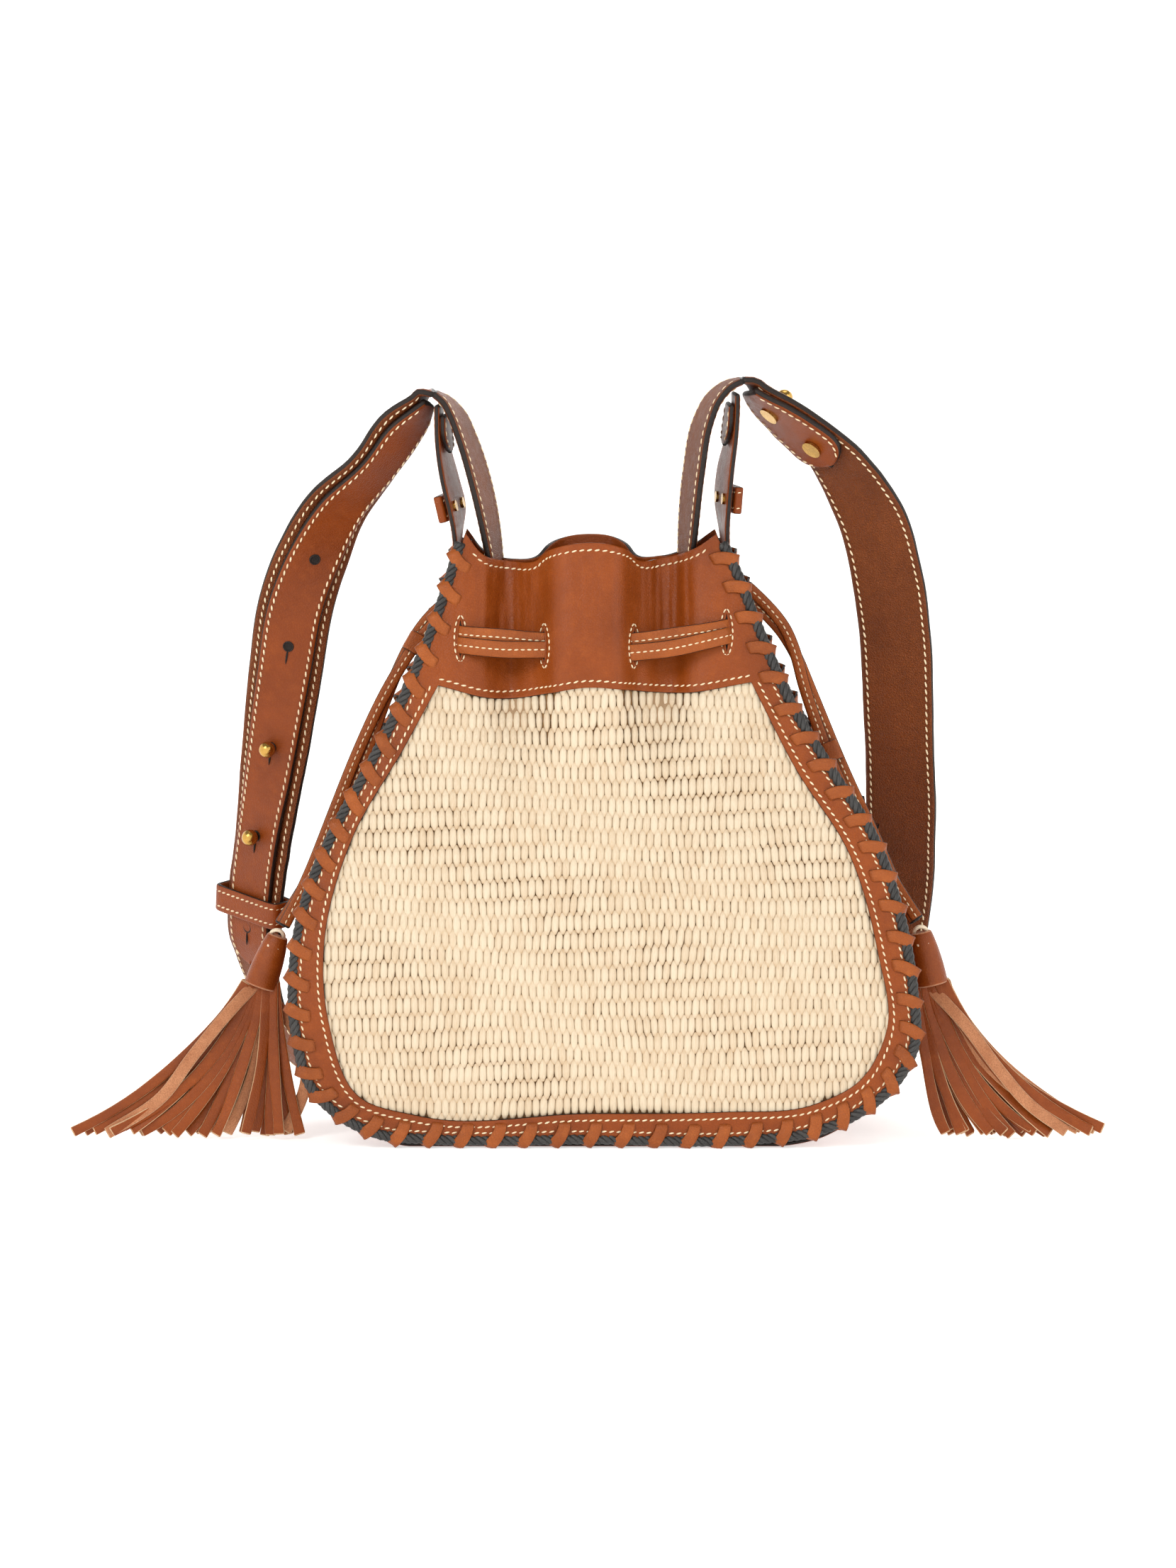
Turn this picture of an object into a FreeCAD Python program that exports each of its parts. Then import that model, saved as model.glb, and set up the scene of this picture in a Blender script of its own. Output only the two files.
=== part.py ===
import FreeCAD, Part
import math
import os
from FreeCAD import Rotation, Vector

# Bucket bag: a raffia body in a leather frame, with a pleated collar, a drawstring, whip-laced edges,
# one long shoulder strap and two tassels. Millimetres. +X is the bag's right as it faces -Y, +Z is up,
# and the origin is the middle of the base, on the surface the bag stands on.

doc = FreeCAD.newDocument("bucket_bag")
sheet = doc.addObject("Spreadsheet::Sheet", "Sizes")

SIZES = [
    ("base_half_depth", 55.0),
    ("mouth_half_depth", 22.0),
    ("taper_start", 45.0),
    ("taper_power", 1.3),
    ("mouth_height", 262.0),
    ("body_bulge", 8.0),
    ("bulge_top", 210.0),
    ("body_half_width", 134.0),
    ("mouth_narrowing", 74.0),
    ("base_narrowing", 34.0),
    ("gather_start", 150.0),
    ("gather_end", 228.0),
    ("pleat_forward", 14.0),
    ("pleat_half_width", 17.0),
    ("pleat_centre", 0.0),
    ("valley_depth", 9.0),
    ("valley_place", 36.5),
    ("valley_width", 8.5),
    ("leather", 1.8),
    ("gusset_thick", 2.2),
    ("raffia_thick", 1.6),
    ("raffia_gap", 0.15),
    ("lining_thick", 0.8),
    ("lining_gap", 0.2),
    ("raffia_top", 214.0),
    ("lining_top", 206.0),
    ("panel_inset", 5.9),
    ("raffia_inset", 13.3),
    ("lining_inset", 14.5),
    ("edge_cord_dia", 4.2),
    ("lace_width", 6.6),
    ("lace_thick", 1.3),
    ("lace_reach", 11.6),
    ("lace_deep", 10.0),
    ("lace_margin", 12.0),
    ("lace_slant", 24.0),
    ("wrap_count", 56.0),
    ("base_left", -82.0),
    ("base_right", 88.0),
    ("base_half_width", 49.5),
    ("board_thick", 2.0),
    ("board_margin", 8.0),
    ("board_corner", 12.0),
    ("strap_thick", 3.2),
    ("ply_gap", 0.3),
    ("tongue_thick", 2.4),
    ("tab_half_width", 17.0),
    ("draw_width", 5.6),
    ("draw_thick", 1.7),
    ("draw_spacing", 6.6),
    ("slit_height", 17.0),
    ("slit_width", 4.0),
    ("end_cord_dia", 3.8),
    ("slider_across", 7.4),
    ("slider_deep", 9.4),
    ("slider_tall", 9.0),
    ("slider_wall", 1.5),
    ("ball_dia", 7.4),
    ("neck_dia", 3.4),
    ("neck_length", 9.6),
    ("disc_dia", 9.0),
    ("disc_thick", 1.2),
    ("tab_neck_length", 9.4),
    ("keeper_width", 39.6),
    ("keeper_deep", 12.2),
    ("keeper_tall", 12.6),
    ("keeper_wall", 1.9),
    ("bridge_width", 30.0),
    ("bridge_deep", 4.4),
    ("bridge_tall", 12.0),
    ("bridge_wall", 1.6),
    ("bridge_gap", 1.1),
    ("rivet_dia", 5.0),
    ("rivet_head", 1.0),
    ("rivet_length", 6.0),
    ("rivet_spacing", 17.0),
    ("head_top_dia", 10.0),
    ("head_foot_dia", 15.0),
    ("head_length", 23.0),
    ("tie_ring_dia", 6.2),
    ("tie_cord_dia", 1.6),
    ("strip_count", 12.0),
    ("strip_width", 4.4),
    ("strip_thick", 1.6),
    ("strip_layer", 2.4),
]
for row, (alias, value) in enumerate(SIZES, start=1):
    sheet.set("A%d" % row, alias)
    sheet.set("B%d" % row, str(value))
    sheet.setAlias("B%d" % row, alias)
doc.recompute()


def size(alias):
    return float(sheet.get(alias))


# The outer line of the laced edge, from the left mouth corner round the base to the right one.
EDGE_LINE = [
    (-58.6, 271.6),
    (-66.4, 246.0),
    (-81.7, 206.0),
    (-99.0, 171.0),
    (-115.5, 141.0),
    (-127.5, 112.0),
    (-133.4, 80.0),
    (-132.4, 50.0),
    (-125.0, 25.0),
    (-110.0, 10.5),
    (-92.0, 2.6),
    (-70.0, 0.7),
    (0.0, 0.7),
    (76.0, 0.7),
    (100.0, 3.8),
    (121.0, 12.5),
    (138.5, 27.0),
    (147.5, 45.0),
    (147.0, 70.0),
    (140.5, 106.0),
    (129.0, 139.0),
    (110.0, 169.0),
    (93.0, 197.0),
    (81.0, 224.0),
    (70.0, 252.0),
    (60.8, 271.8),
]
COLLAR_LINE = [
    (-46.0, 260.5),
    (-34.0, 257.6),
    (-24.0, 258.0),
    (-12.0, 264.0),
    (1.0, 266.8),
    (12.0, 264.4),
    (21.0, 258.4),
    (33.0, 258.8),
    (47.0, 263.4),
]
WINDOW_LEFT = [
    (-66.4, 203.6),
    (-80.5, 178.0),
    (-105.0, 135.0),
    (-116.4, 92.0),
    (-114.5, 56.0),
    (-101.0, 22.8),
    (-75.5, 14.5),
]
WINDOW_BOTTOM = (0.0, 15.6)
WINDOW_RIGHT = [
    (100.0, 19.5),
    (120.0, 30.0),
    (132.0, 53.0),
    (128.0, 87.0),
    (115.0, 131.0),
    (92.0, 167.0),
    (72.3, 205.0),
]
WINDOW_TOP = [(40.0, 200.0), (0.0, 203.5), (-40.0, 197.5)]
SLITS = [(-56.5, 224.0), (-19.3, 221.2), (20.3, 220.9), (61.4, 226.8)]


def half_depth(height):
    """Half the bag's depth at a height: full at the base, drawn in to the mouth."""
    span = size("mouth_height") - size("taper_start")
    part = min(max((height - size("taper_start")) / span, 0.0), 1.0)
    drawn_in = size("base_half_depth") - size("mouth_half_depth")
    return size("base_half_depth") - drawn_in * part ** size("taper_power")


def smooth_step(low, high, value):
    part = min(max((value - low) / (high - low), 0.0), 1.0)
    return part * part * (3.0 - 2.0 * part)


def edge_half_width(height):
    """Half the bag's width at a height, for the bulge of its panels."""
    at_mouth = size("mouth_narrowing") * smooth_step(70.0, 265.0, height)
    at_base = size("base_narrowing") * smooth_step(70.0, 0.0, height)
    return size("body_half_width") - at_mouth - at_base


def panel_depth(x, height):
    """How far the front panel stands in front of the bag's middle plane."""
    across = x / edge_half_width(height)
    up = min(max(height / size("bulge_top"), 0.0), 1.0)
    bulge = size("body_bulge") * math.sin(math.pi * up) * max(1.0 - across ** 2, 0.0)
    forward = size("pleat_forward") * math.exp(-((x - size("pleat_centre")) / size("pleat_half_width")) ** 4)
    beside = abs(x - size("pleat_centre")) - size("valley_place")
    back = size("valley_depth") * math.exp(-(beside / size("valley_width")) ** 2)
    gather = smooth_step(size("gather_start"), size("gather_end"), height)
    return half_depth(height) + bulge + gather * (forward - back)


def panel_sheet(behind, thick):
    """A solid sheet that follows the front panel, a distance behind its face, wider than the panel."""
    rows = []
    for i in range(49):
        x = -156.0 + 6.5 * i
        rows.append([Vector(x, behind - panel_depth(x, z), z) for z in [-8.0 + 9.5 * j for j in range(32)]])
    surface = Part.BSplineSurface()
    surface.interpolate(rows)
    return surface.toShape().extrude(Vector(0, thick, 0))


def spline_edge(points):
    curve = Part.BSplineCurve()
    curve.interpolate([Vector(x, 0, z) for x, z in points])
    return curve.toShape()


def edge_points(inset):
    """The edge line moved towards the middle of the bag, square to itself."""
    curve = Part.BSplineCurve()
    curve.interpolate([Vector(x, 0, z) for x, z in EDGE_LINE])
    moved = []
    for x, z in EDGE_LINE:
        tangent = curve.tangent(curve.parameter(Vector(x, 0, z)))[0]
        moved.append((x - tangent.z * inset, z + tangent.x * inset))
    return moved


def prism(wire):
    """A closed outline in the XZ plane, made into a solid that spans the bag's front half."""
    face = Part.Face(wire)
    face.translate(Vector(0, -120, 0))
    return face.extrude(Vector(0, 240, 0))


def closed_outline(inset, top):
    """The edge line at an inset, closed by a line of points across the top."""
    sides = edge_points(inset)
    sides[0] = top[0]
    sides[-1] = top[-1]
    return Part.Wire([spline_edge(sides), spline_edge(list(reversed(top)))])


def outline_below(inset, height):
    """The edge line at an inset, cut off level at a height."""
    sides = edge_points(inset)
    closing = Part.makeLine(Vector(sides[-1][0], 0, sides[-1][1]), Vector(sides[0][0], 0, sides[0][1]))
    whole = prism(Part.Wire([spline_edge(sides), closing]))
    return whole.common(Part.makeBox(400, 400, height + 20, Vector(-200, -200, -20)))


def add_shape(label, shape):
    piece = doc.addObject("Part::Feature", label)
    piece.Label = label
    piece.Shape = shape
    PIECES.append(piece)
    return piece


def add_mirrored(label, source):
    """The same piece on the back of the bag, as a mirror feature of the front one."""
    piece = doc.addObject("Part::Mirroring", label)
    piece.Label = label
    piece.Source = source
    piece.Normal = Vector(0, 1, 0)
    PIECES.append(piece)
    return piece


def ribbon(pairs, thick, lift=0.0):
    """A flat band through pairs of edge points, lifted off its middle surface along its own normal."""
    centres = [(a + b) * 0.5 for a, b in pairs]
    corners = []
    for i, (a, b) in enumerate(pairs):
        ahead = centres[min(i + 1, len(pairs) - 1)]
        behind = centres[max(i - 1, 0)]
        along = (ahead - behind).normalize()
        across = (b - a).normalize()
        normal = along.cross(across).normalize()
        low = normal * (lift - thick / 2)
        high = normal * (lift + thick / 2)
        corners.append([a + low, b + low, b + high, a + high])
    faces = [Part.Face(Part.makePolygon(ring + ring[:1])) for ring in (corners[0], corners[-1])]
    for ring, following in zip(corners, corners[1:]):
        for side in range(4):
            other = (side + 1) % 4
            first = Part.makeLine(ring[side], ring[other])
            faces.append(Part.makeRuledSurface(first, Part.makeLine(following[side], following[other])))
    shell = Part.makeShell(faces)
    shell.sewShape()
    solid = Part.Solid(shell)
    if solid.Volume < 0:
        solid.reverse()
    return solid


def bind(piece, **expressions):
    for name, expression in expressions.items():
        piece.setExpression(name.replace("__", "."), expression)


def place(piece, at, x_axis, z_axis):
    """Puts a piece at a point, with its own X and Z turned to the given directions."""
    y_axis = z_axis.cross(x_axis).normalize()
    piece.Placement = FreeCAD.Placement(at, Rotation(y_axis.cross(z_axis), y_axis, z_axis, "ZXY"))


PIECES = []


# ---- Leather frame, raffia panel and lining ----

def make_front_frame():
    first, last = EDGE_LINE[0], EDGE_LINE[-1]
    outline = prism(closed_outline(size("panel_inset"), [first] + COLLAR_LINE + [last]))
    left = spline_edge(WINDOW_LEFT)
    bottom = spline_edge([WINDOW_LEFT[-1], WINDOW_BOTTOM, WINDOW_RIGHT[0]])
    right = spline_edge(WINDOW_RIGHT)
    top = spline_edge([WINDOW_RIGHT[-1]] + WINDOW_TOP + [WINDOW_LEFT[0]])
    window = prism(Part.Wire([left, bottom, right, top]))
    frame = panel_sheet(0.0, size("leather")).common(outline.cut(window))
    for x, z in SLITS:
        corner = Vector(x - size("slit_width") / 2, -120, z - size("slit_height") / 2)
        frame = frame.cut(Part.makeBox(size("slit_width"), 240, size("slit_height"), corner))
    return frame


front_frame = add_shape("front_frame", make_front_frame())
add_mirrored("back_frame", front_frame)

raffia_behind = size("leather") + size("raffia_gap")
raffia_outline = outline_below(size("raffia_inset"), size("raffia_top"))
raffia_sheet = panel_sheet(raffia_behind, size("raffia_thick"))
front_raffia = add_shape("front_raffia", raffia_sheet.common(raffia_outline))
add_mirrored("back_raffia", front_raffia)

lining_behind = raffia_behind + size("raffia_thick") + size("lining_gap")
lining_outline = outline_below(size("lining_inset"), size("lining_top"))
lining_sheet = panel_sheet(lining_behind, size("lining_thick"))
front_lining = add_shape("front_lining", lining_sheet.common(lining_outline))
add_mirrored("back_lining", front_lining)


# ---- Gussets and base ----

LEFT_TAB = [
    (-67.2, -65.6, 321.0),
    (-67.0, -63.5, 311.0),
    (-64.7, -58.5, 293.0),
    (-61.6, -55.6, 280.0),
    (-59.6, -57.0, 270.0),
]
RIGHT_TAB = [
    (66.4, 65.2, 326.0),
    (65.8, 63.0, 314.0),
    (64.0, 58.6, 297.0),
    (62.8, 57.6, 283.0),
    (62.0, 59.5, 271.0),
]
GUSSET_CLEARANCE = 0.2


def gusset(tab, side_points):
    """A side gusset from its tab's tip down to the base: tab rows are near x, far x and height."""
    half = size("tab_half_width")
    pairs = [(Vector(near, -half, z), Vector(far, half, z)) for near, far, z in tab]
    for x, z in side_points:
        reach = half_depth(z) - size("leather") - GUSSET_CLEARANCE
        pairs.append((Vector(x, -reach, z), Vector(x, reach, z)))
    return ribbon(pairs, size("gusset_thick"))


side_line = edge_points(size("panel_inset") + size("gusset_thick") / 2)
add_shape("left_gusset", gusset(LEFT_TAB, side_line[1:10]))
add_shape("right_gusset", gusset(RIGHT_TAB, list(reversed(side_line[15:25]))))


def make_base_gusset():
    """The strip that the bag stands on: flat between its ends, which turn up to the side gussets."""
    thick = size("gusset_thick")
    left, right = size("base_left"), size("base_right")
    outer = Part.makeLine(Vector(left, 0, 0), Vector(right, 0, 0))
    right_out = spline_edge([(right, 0.0), (103.0, 3.6), (115.0, 9.6)])
    right_end = Part.makeLine(Vector(115.0, 0, 9.6), Vector(113.8, 0, 9.6 + thick))
    right_in = spline_edge([(113.8, 9.6 + thick), (102.3, 3.6 + thick), (right, thick)])
    inner = Part.makeLine(Vector(right, 0, thick), Vector(left, 0, thick))
    left_in = spline_edge([(left, thick), (-92.3, 3.6 + thick), (-101.0, 8.6 + thick)])
    left_end = Part.makeLine(Vector(-101.0, 0, 8.6 + thick), Vector(-102.2, 0, 8.6))
    left_out = spline_edge([(-102.2, 8.6), (-93.0, 3.6), (left, 0.0)])
    wire = Part.Wire([outer, right_out, right_end, right_in, inner, left_in, left_end, left_out])
    half = size("base_half_width")
    face = Part.Face(wire)
    face.translate(Vector(0, -half, 0))
    return face.extrude(Vector(0, 2 * half, 0))


add_shape("base_gusset", make_base_gusset())

board = doc.addObject("PartDesign::Body", "base_board")
board.Label = "base_board"
slab = board.newObject("PartDesign::AdditiveBox", "BoardSlab")
bind(slab, Length="Sizes.base_right - Sizes.base_left - 2 * Sizes.board_margin")
bind(slab, Width="2 * (Sizes.base_half_width - Sizes.board_margin)", Height="Sizes.board_thick")
doc.recompute()
rounding = board.newObject("PartDesign::Fillet", "BoardCorners")
rounding.Base = (slab, ["Edge1", "Edge3", "Edge5", "Edge7"])
bind(rounding, Radius="Sizes.board_corner")
board.Tip = rounding
bind(board, Placement__Base__x="Sizes.base_left + Sizes.board_margin")
bind(board, Placement__Base__y="Sizes.board_margin - Sizes.base_half_width")
bind(board, Placement__Base__z="Sizes.gusset_thick + 0.1")
PIECES.append(board)


# ---- Edge cord and whip lacing ----

edge = spline_edge(EDGE_LINE)
CORD_SECTIONS = 64


def edge_frame(distance):
    """A place on the edge line: the point, the direction along it and the direction into the bag."""
    at = edge.getParameterByLength(distance)
    along = edge.tangentAt(at)
    return edge.valueAt(at), along, Vector(-along.z, 0, along.x)


def cord_depth(point):
    return half_depth(point.z) - size("leather") / 2


def make_edge_cord():
    radius = size("edge_cord_dia") / 2
    inset = size("lace_thick") + radius + 0.2
    sections = []
    start = size("lace_margin") / 2
    for i in range(CORD_SECTIONS + 1):
        part = i / CORD_SECTIONS
        point, along, inward = edge_frame(start + (edge.Length - 2 * start) * part)
        centre = point + inward * inset - Vector(0, cord_depth(point), 0)
        sections.append(Part.Wire(Part.makeCircle(radius, centre, along)))
    return Part.makeLoft(sections, True, True)


def make_lacing():
    wraps = []
    count = int(size("wrap_count"))
    start = size("lace_margin")
    pitch = (edge.Length - 2 * start) / (count - 1)
    wide, thick, reach = size("lace_width"), size("lace_thick"), size("lace_reach")
    deep = size("lace_deep")
    slant = math.radians(size("lace_slant"))
    for i in range(count):
        point, along, inward = edge_frame(start + pitch * i)
        across = along * math.cos(slant) - inward * math.sin(slant)
        into = inward * math.cos(slant) + along * math.sin(slant)
        outer = Part.makeBox(wide, reach, deep, Vector(-wide / 2, 0, -deep / 2))
        corner = Vector(-wide / 2 - 1, thick, thick - deep / 2)
        core = Part.makeBox(wide + 2, reach - 2 * thick, deep - 2 * thick, corner)
        wrap = outer.cut(core)
        at = point - Vector(0, cord_depth(point), 0)
        lift = max(0.0, 0.5 * wide * abs(across.z) + 0.05 - at.z)
        turn = Rotation(across, into, across.cross(into), "ZXY")
        wrap.Placement = FreeCAD.Placement(at + Vector(0, 0, lift), turn)
        wraps.append(wrap)
    return Part.makeCompound(wraps)


front_edge_cord = add_shape("front_edge_cord", make_edge_cord())
add_mirrored("back_edge_cord", front_edge_cord)
front_lacing = add_shape("front_lacing", make_lacing())
add_mirrored("back_lacing", front_lacing)


# ---- Drawstring ----

DRAW_LINE = [
    (-59.4, -23.4, 224.4),
    (-56.6, -28.6, 224.0),
    (-50.0, -32.5, 223.4),
    (-38.0, -33.0, 222.4),
    (-19.3, -33.0, 221.2),
    (0.0, -33.0, 221.0),
    (20.3, -33.0, 221.0),
    (38.0, -33.0, 223.0),
    (53.0, -32.5, 225.4),
    (61.4, -28.6, 226.8),
    (64.2, -23.4, 227.2),
]


def make_drawstring():
    """Two laces side by side, through the slits and behind the middle pleat."""
    laces = []
    for place_above in (-0.5, 0.5):
        lift = Vector(0, 0, place_above * size("draw_spacing"))
        half = Vector(0, 0, size("draw_width") / 2)
        middle = [Vector(*point) + lift for point in DRAW_LINE]
        laces.append(ribbon([(point - half, point + half) for point in middle], size("draw_thick")))
    return Part.makeCompound(laces)


drawstring_front = add_shape("drawstring_front", make_drawstring())
add_mirrored("drawstring_back", drawstring_front)

LEFT_END = [
    (-64.5, 4.5, 235.0),
    (-73.5, 3.4, 227.5),
    (-87.5, 0.0, 203.0),
    (-99.5, -6.0, 175.0),
    (-113.5, -14.0, 141.0),
    (-126.5, -20.0, 113.0),
    (-136.2, -24.0, 96.6),
]
RIGHT_END = [
    (70.0, 4.0, 244.0),
    (84.0, 5.0, 232.0),
    (93.0, 4.2, 217.0),
    (98.5, 2.0, 199.0),
    (113.0, -4.5, 161.0),
    (126.0, -12.0, 135.0),
    (137.0, -19.5, 112.0),
    (145.6, -24.0, 98.4),
]


def cord_tube(label, route, diameter):
    """A round tube along straight runs that are joined by arcs as large as the runs allow."""
    points = [Vector(*point) for point in route]
    edges = []
    start = points[0]
    for before, corner, after in zip(points, points[1:], points[2:]):
        to_back = (before - corner).normalize()
        to_front = (after - corner).normalize()
        setback = 0.45 * min((before - corner).Length, (after - corner).Length)
        half_turn = (math.pi - to_back.getAngle(to_front)) / 2
        radius = setback / math.tan(half_turn)
        bisector = (to_back + to_front).normalize()
        centre = corner + bisector * (radius / math.cos(half_turn))
        first, last = corner + to_back * setback, corner + to_front * setback
        edges.append(Part.makeLine(start, first))
        edges.append(Part.Arc(first, centre - bisector * radius, last).toShape())
        start = last
    edges.append(Part.makeLine(start, points[-1]))
    path = Part.Wire(edges)
    profile = Part.Wire(Part.makeCircle(diameter / 2, points[0], points[1] - points[0]))
    tube = path.makePipeShell([profile], True, False)
    print(label, "length %.1f" % path.Length)
    return add_shape(label, tube)


cord_tube("left_drawstring_end", LEFT_END, size("end_cord_dia"))
cord_tube("right_drawstring_end", RIGHT_END, size("end_cord_dia"))


def loop_piece(label, prefix, wide, deep, tall, at, x_axis, z_axis):
    """A small leather loop: a block with a rectangular way through it along its own Z."""
    outer = doc.addObject("Part::Box", label + "_outer")
    bind(outer, Length=wide, Width=deep, Height=tall)
    core = doc.addObject("Part::Box", label + "_core")
    wall = "Sizes.%s_wall" % prefix
    bind(core, Length="%s - 2 * %s" % (wide, wall), Width="%s - 2 * %s" % (deep, wall))
    bind(core, Height=tall + " + 2")
    bind(outer, Placement__Base__x="-0.5 * " + wide, Placement__Base__y="-0.5 * " + deep)
    bind(outer, Placement__Base__z="-0.5 * " + tall)
    bind(core, Placement__Base__x="%s - 0.5 * %s" % (wall, wide))
    bind(core, Placement__Base__y="%s - 0.5 * %s" % (wall, deep))
    bind(core, Placement__Base__z="-0.5 * %s - 1" % tall)
    piece = doc.addObject("Part::Cut", label)
    piece.Label = label
    piece.Base = outer
    piece.Tool = core
    place(piece, at, x_axis, z_axis)
    PIECES.append(piece)


def point_on(route, run, part):
    start, end = Vector(*route[run]), Vector(*route[run + 1])
    return start + (end - start) * part, (start - end).normalize()


for label, route, run, part in (("left_slider", LEFT_END, 1, 0.3), ("right_slider", RIGHT_END, 3, 0.72)):
    at, upward = point_on(route, run, part)
    print(label, "centre", at, "axis up", upward)
    across = Vector(0, 1, 0).cross(upward).normalize()
    slider_dims = ["Sizes.slider_across", "Sizes.slider_deep", "Sizes.slider_tall"]
    loop_piece(label, "slider", *slider_dims, at, across, upward)


# ---- Shoulder strap ----

LEFT_LEG = [
    ((-69.4, -17.0, 332.2), (-69.4, 17.0, 331.6)),
    ((-73.5, -16.6, 333.0), (-72.0, 16.7, 330.2)),
    ((-78.5, -15.3, 330.6), (-74.0, 15.4, 318.5)),
    ((-91.4, -13.0, 321.6), (-76.5, 14.5, 309.0)),
    ((-104.8, -11.0, 304.4), (-86.0, 15.5, 295.5)),
    ((-123.9, -4.0, 287.0), (-99.0, 17.0, 277.0)),
    ((-138.3, 8.0, 265.0), (-107.0, 19.5, 257.0)),
    ((-148.0, 20.0, 239.0), (-114.3, 20.0, 234.0)),
    ((-153.0, 31.0, 208.0), (-119.5, 26.0, 205.0)),
    ((-158.2, 50.0, 156.0), (-128.8, 33.0, 154.0)),
    ((-160.4, 59.0, 131.0), (-134.4, 37.0, 129.0)),
    ((-163.5, 66.4, 106.0), (-138.2, 43.6, 104.0)),
    ((-164.2, 71.8, 84.0), (-139.8, 48.2, 82.0)),
    ((-158.0, 85.2, 61.0), (-141.0, 55.8, 59.0)),
    ((-148.0, 95.0, 34.0), (-131.0, 66.0, 30.0)),
    ((-129.0, 103.0, 13.0), (-114.0, 73.0, 11.5)),
    ((-104.0, 111.0, 4.2), (-91.0, 80.0, 3.4)),
    ((-70.0, 119.0, 2.3), (-61.0, 86.5, 2.3)),
    ((-35.0, 124.0, 2.3), (-31.0, 90.0, 2.3)),
]
RIGHT_LEG = [
    ((69.4, -17.0, 337.9), (69.4, 17.0, 337.3)),
    ((73.8, -16.6, 337.8), (71.9, 16.8, 335.9)),
    ((80.0, -16.0, 334.5), (75.5, 16.5, 328.0)),
    ((93.9, -15.0, 326.6), (84.5, 16.0, 316.0)),
    ((111.7, -13.0, 314.7), (96.5, 15.5, 304.0)),
    ((129.8, -9.0, 297.0), (106.0, 14.5, 288.0)),
    ((141.7, -2.0, 279.0), (112.5, 15.5, 272.0)),
    ((149.0, 6.0, 255.0), (117.5, 19.0, 253.0)),
    ((153.8, 16.0, 225.0), (121.8, 27.0, 226.0)),
    ((156.0, 28.0, 183.0), (125.0, 41.0, 183.0)),
    ((158.0, 45.0, 132.0), (126.5, 57.0, 132.0)),
    ((157.6, 61.0, 102.0), (124.5, 69.0, 102.0)),
    ((155.0, 74.0, 77.0), (121.5, 73.0, 77.0)),
    ((152.0, 88.0, 50.0), (128.0, 64.5, 48.0)),
    ((146.0, 98.0, 27.0), (128.5, 69.5, 25.0)),
    ((129.0, 105.0, 11.5), (114.0, 75.0, 10.5)),
    ((104.0, 112.0, 4.0), (92.0, 80.5, 3.4)),
    ((70.0, 119.0, 2.3), (61.0, 86.5, 2.3)),
    ((35.0, 124.0, 2.3), (31.0, 90.0, 2.3)),
]
MIDDLE = [((0.0, 126.0, 2.3), (0.0, 92.0, 2.3))]
LEFT_TAIL = [
    ((-43.8, -13.0, 256.0), (-40.0, 13.0, 254.0)),
    ((-45.8, -15.0, 266.0), (-42.2, 15.0, 265.0)),
    ((-52.0, -17.0, 292.8), (-49.0, 17.0, 292.8)),
    ((-57.4, -17.0, 311.6), (-55.6, 17.0, 311.8)),
    ((-61.4, -17.0, 322.5), (-60.4, 17.0, 323.0)),
    ((-64.4, -17.0, 328.2), (-64.4, 17.0, 328.5)),
    ((-67.9, -17.0, 331.4), (-67.9, 17.0, 331.0)),
]
RIGHT_TAIL = [
    ((46.4, -13.0, 258.0), (42.4, 13.0, 256.0)),
    ((47.7, -15.0, 270.0), (43.9, 15.0, 268.0)),
    ((50.8, -17.0, 297.5), (48.2, 17.0, 297.5)),
    ((54.5, -17.0, 319.0), (52.9, 17.0, 319.4)),
    ((58.6, -17.0, 329.2), (58.0, 17.0, 330.0)),
    ((64.2, -17.0, 335.4), (64.0, 17.0, 335.6)),
    ((67.9, -17.0, 337.2), (67.9, 17.0, 337.0)),
]


def vectors(rows):
    return [(Vector(*a), Vector(*b)) for a, b in rows]


def between(pairs, index, part):
    (a, b), (c, d) = pairs[index], pairs[index + 1]
    return a + (c - a) * part, b + (d - b) * part


def strap_frame(pairs, index, part):
    """A place on a strap: its middle, the directions along and across it, and its inner normal."""
    a, b = between(pairs, index, part)
    start = (pairs[index][0] + pairs[index][1]) * 0.5
    end = (pairs[index + 1][0] + pairs[index + 1][1]) * 0.5
    along = (end - start).normalize()
    across = (b - a).normalize()
    normal = along.cross(across).normalize()
    return (a + b) * 0.5, along, normal.cross(along).normalize(), normal


DRILL_LENGTH = 24.0


def drilled(shape, frames, radius):
    for middle, along, across, normal in frames:
        shape = shape.cut(Part.makeCylinder(radius, DRILL_LENGTH, middle - normal * DRILL_LENGTH / 2, normal))
    return shape


strap_line = vectors(LEFT_LEG + MIDDLE + list(reversed(RIGHT_LEG)))
ply_lift = size("strap_thick") + size("ply_gap")
last_run = len(strap_line) - 2
left_stud_frames = [strap_frame(strap_line, 8, 0.68), strap_frame(strap_line, 10, 0.0)]
right_stud_frames = [
    strap_frame(strap_line, last_run - 2, 0.44),
    strap_frame(strap_line, last_run - 3, 0.1),
]
spare_hole_frames = [
    strap_frame(strap_line, 6, 0.1),
    strap_frame(strap_line, 7, 0.6),
    strap_frame(strap_line, 11, 0.82),
]
HOLE_CLEARANCE = 0.2
hole_radius = size("neck_dia") / 2 + HOLE_CLEARANCE

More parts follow.
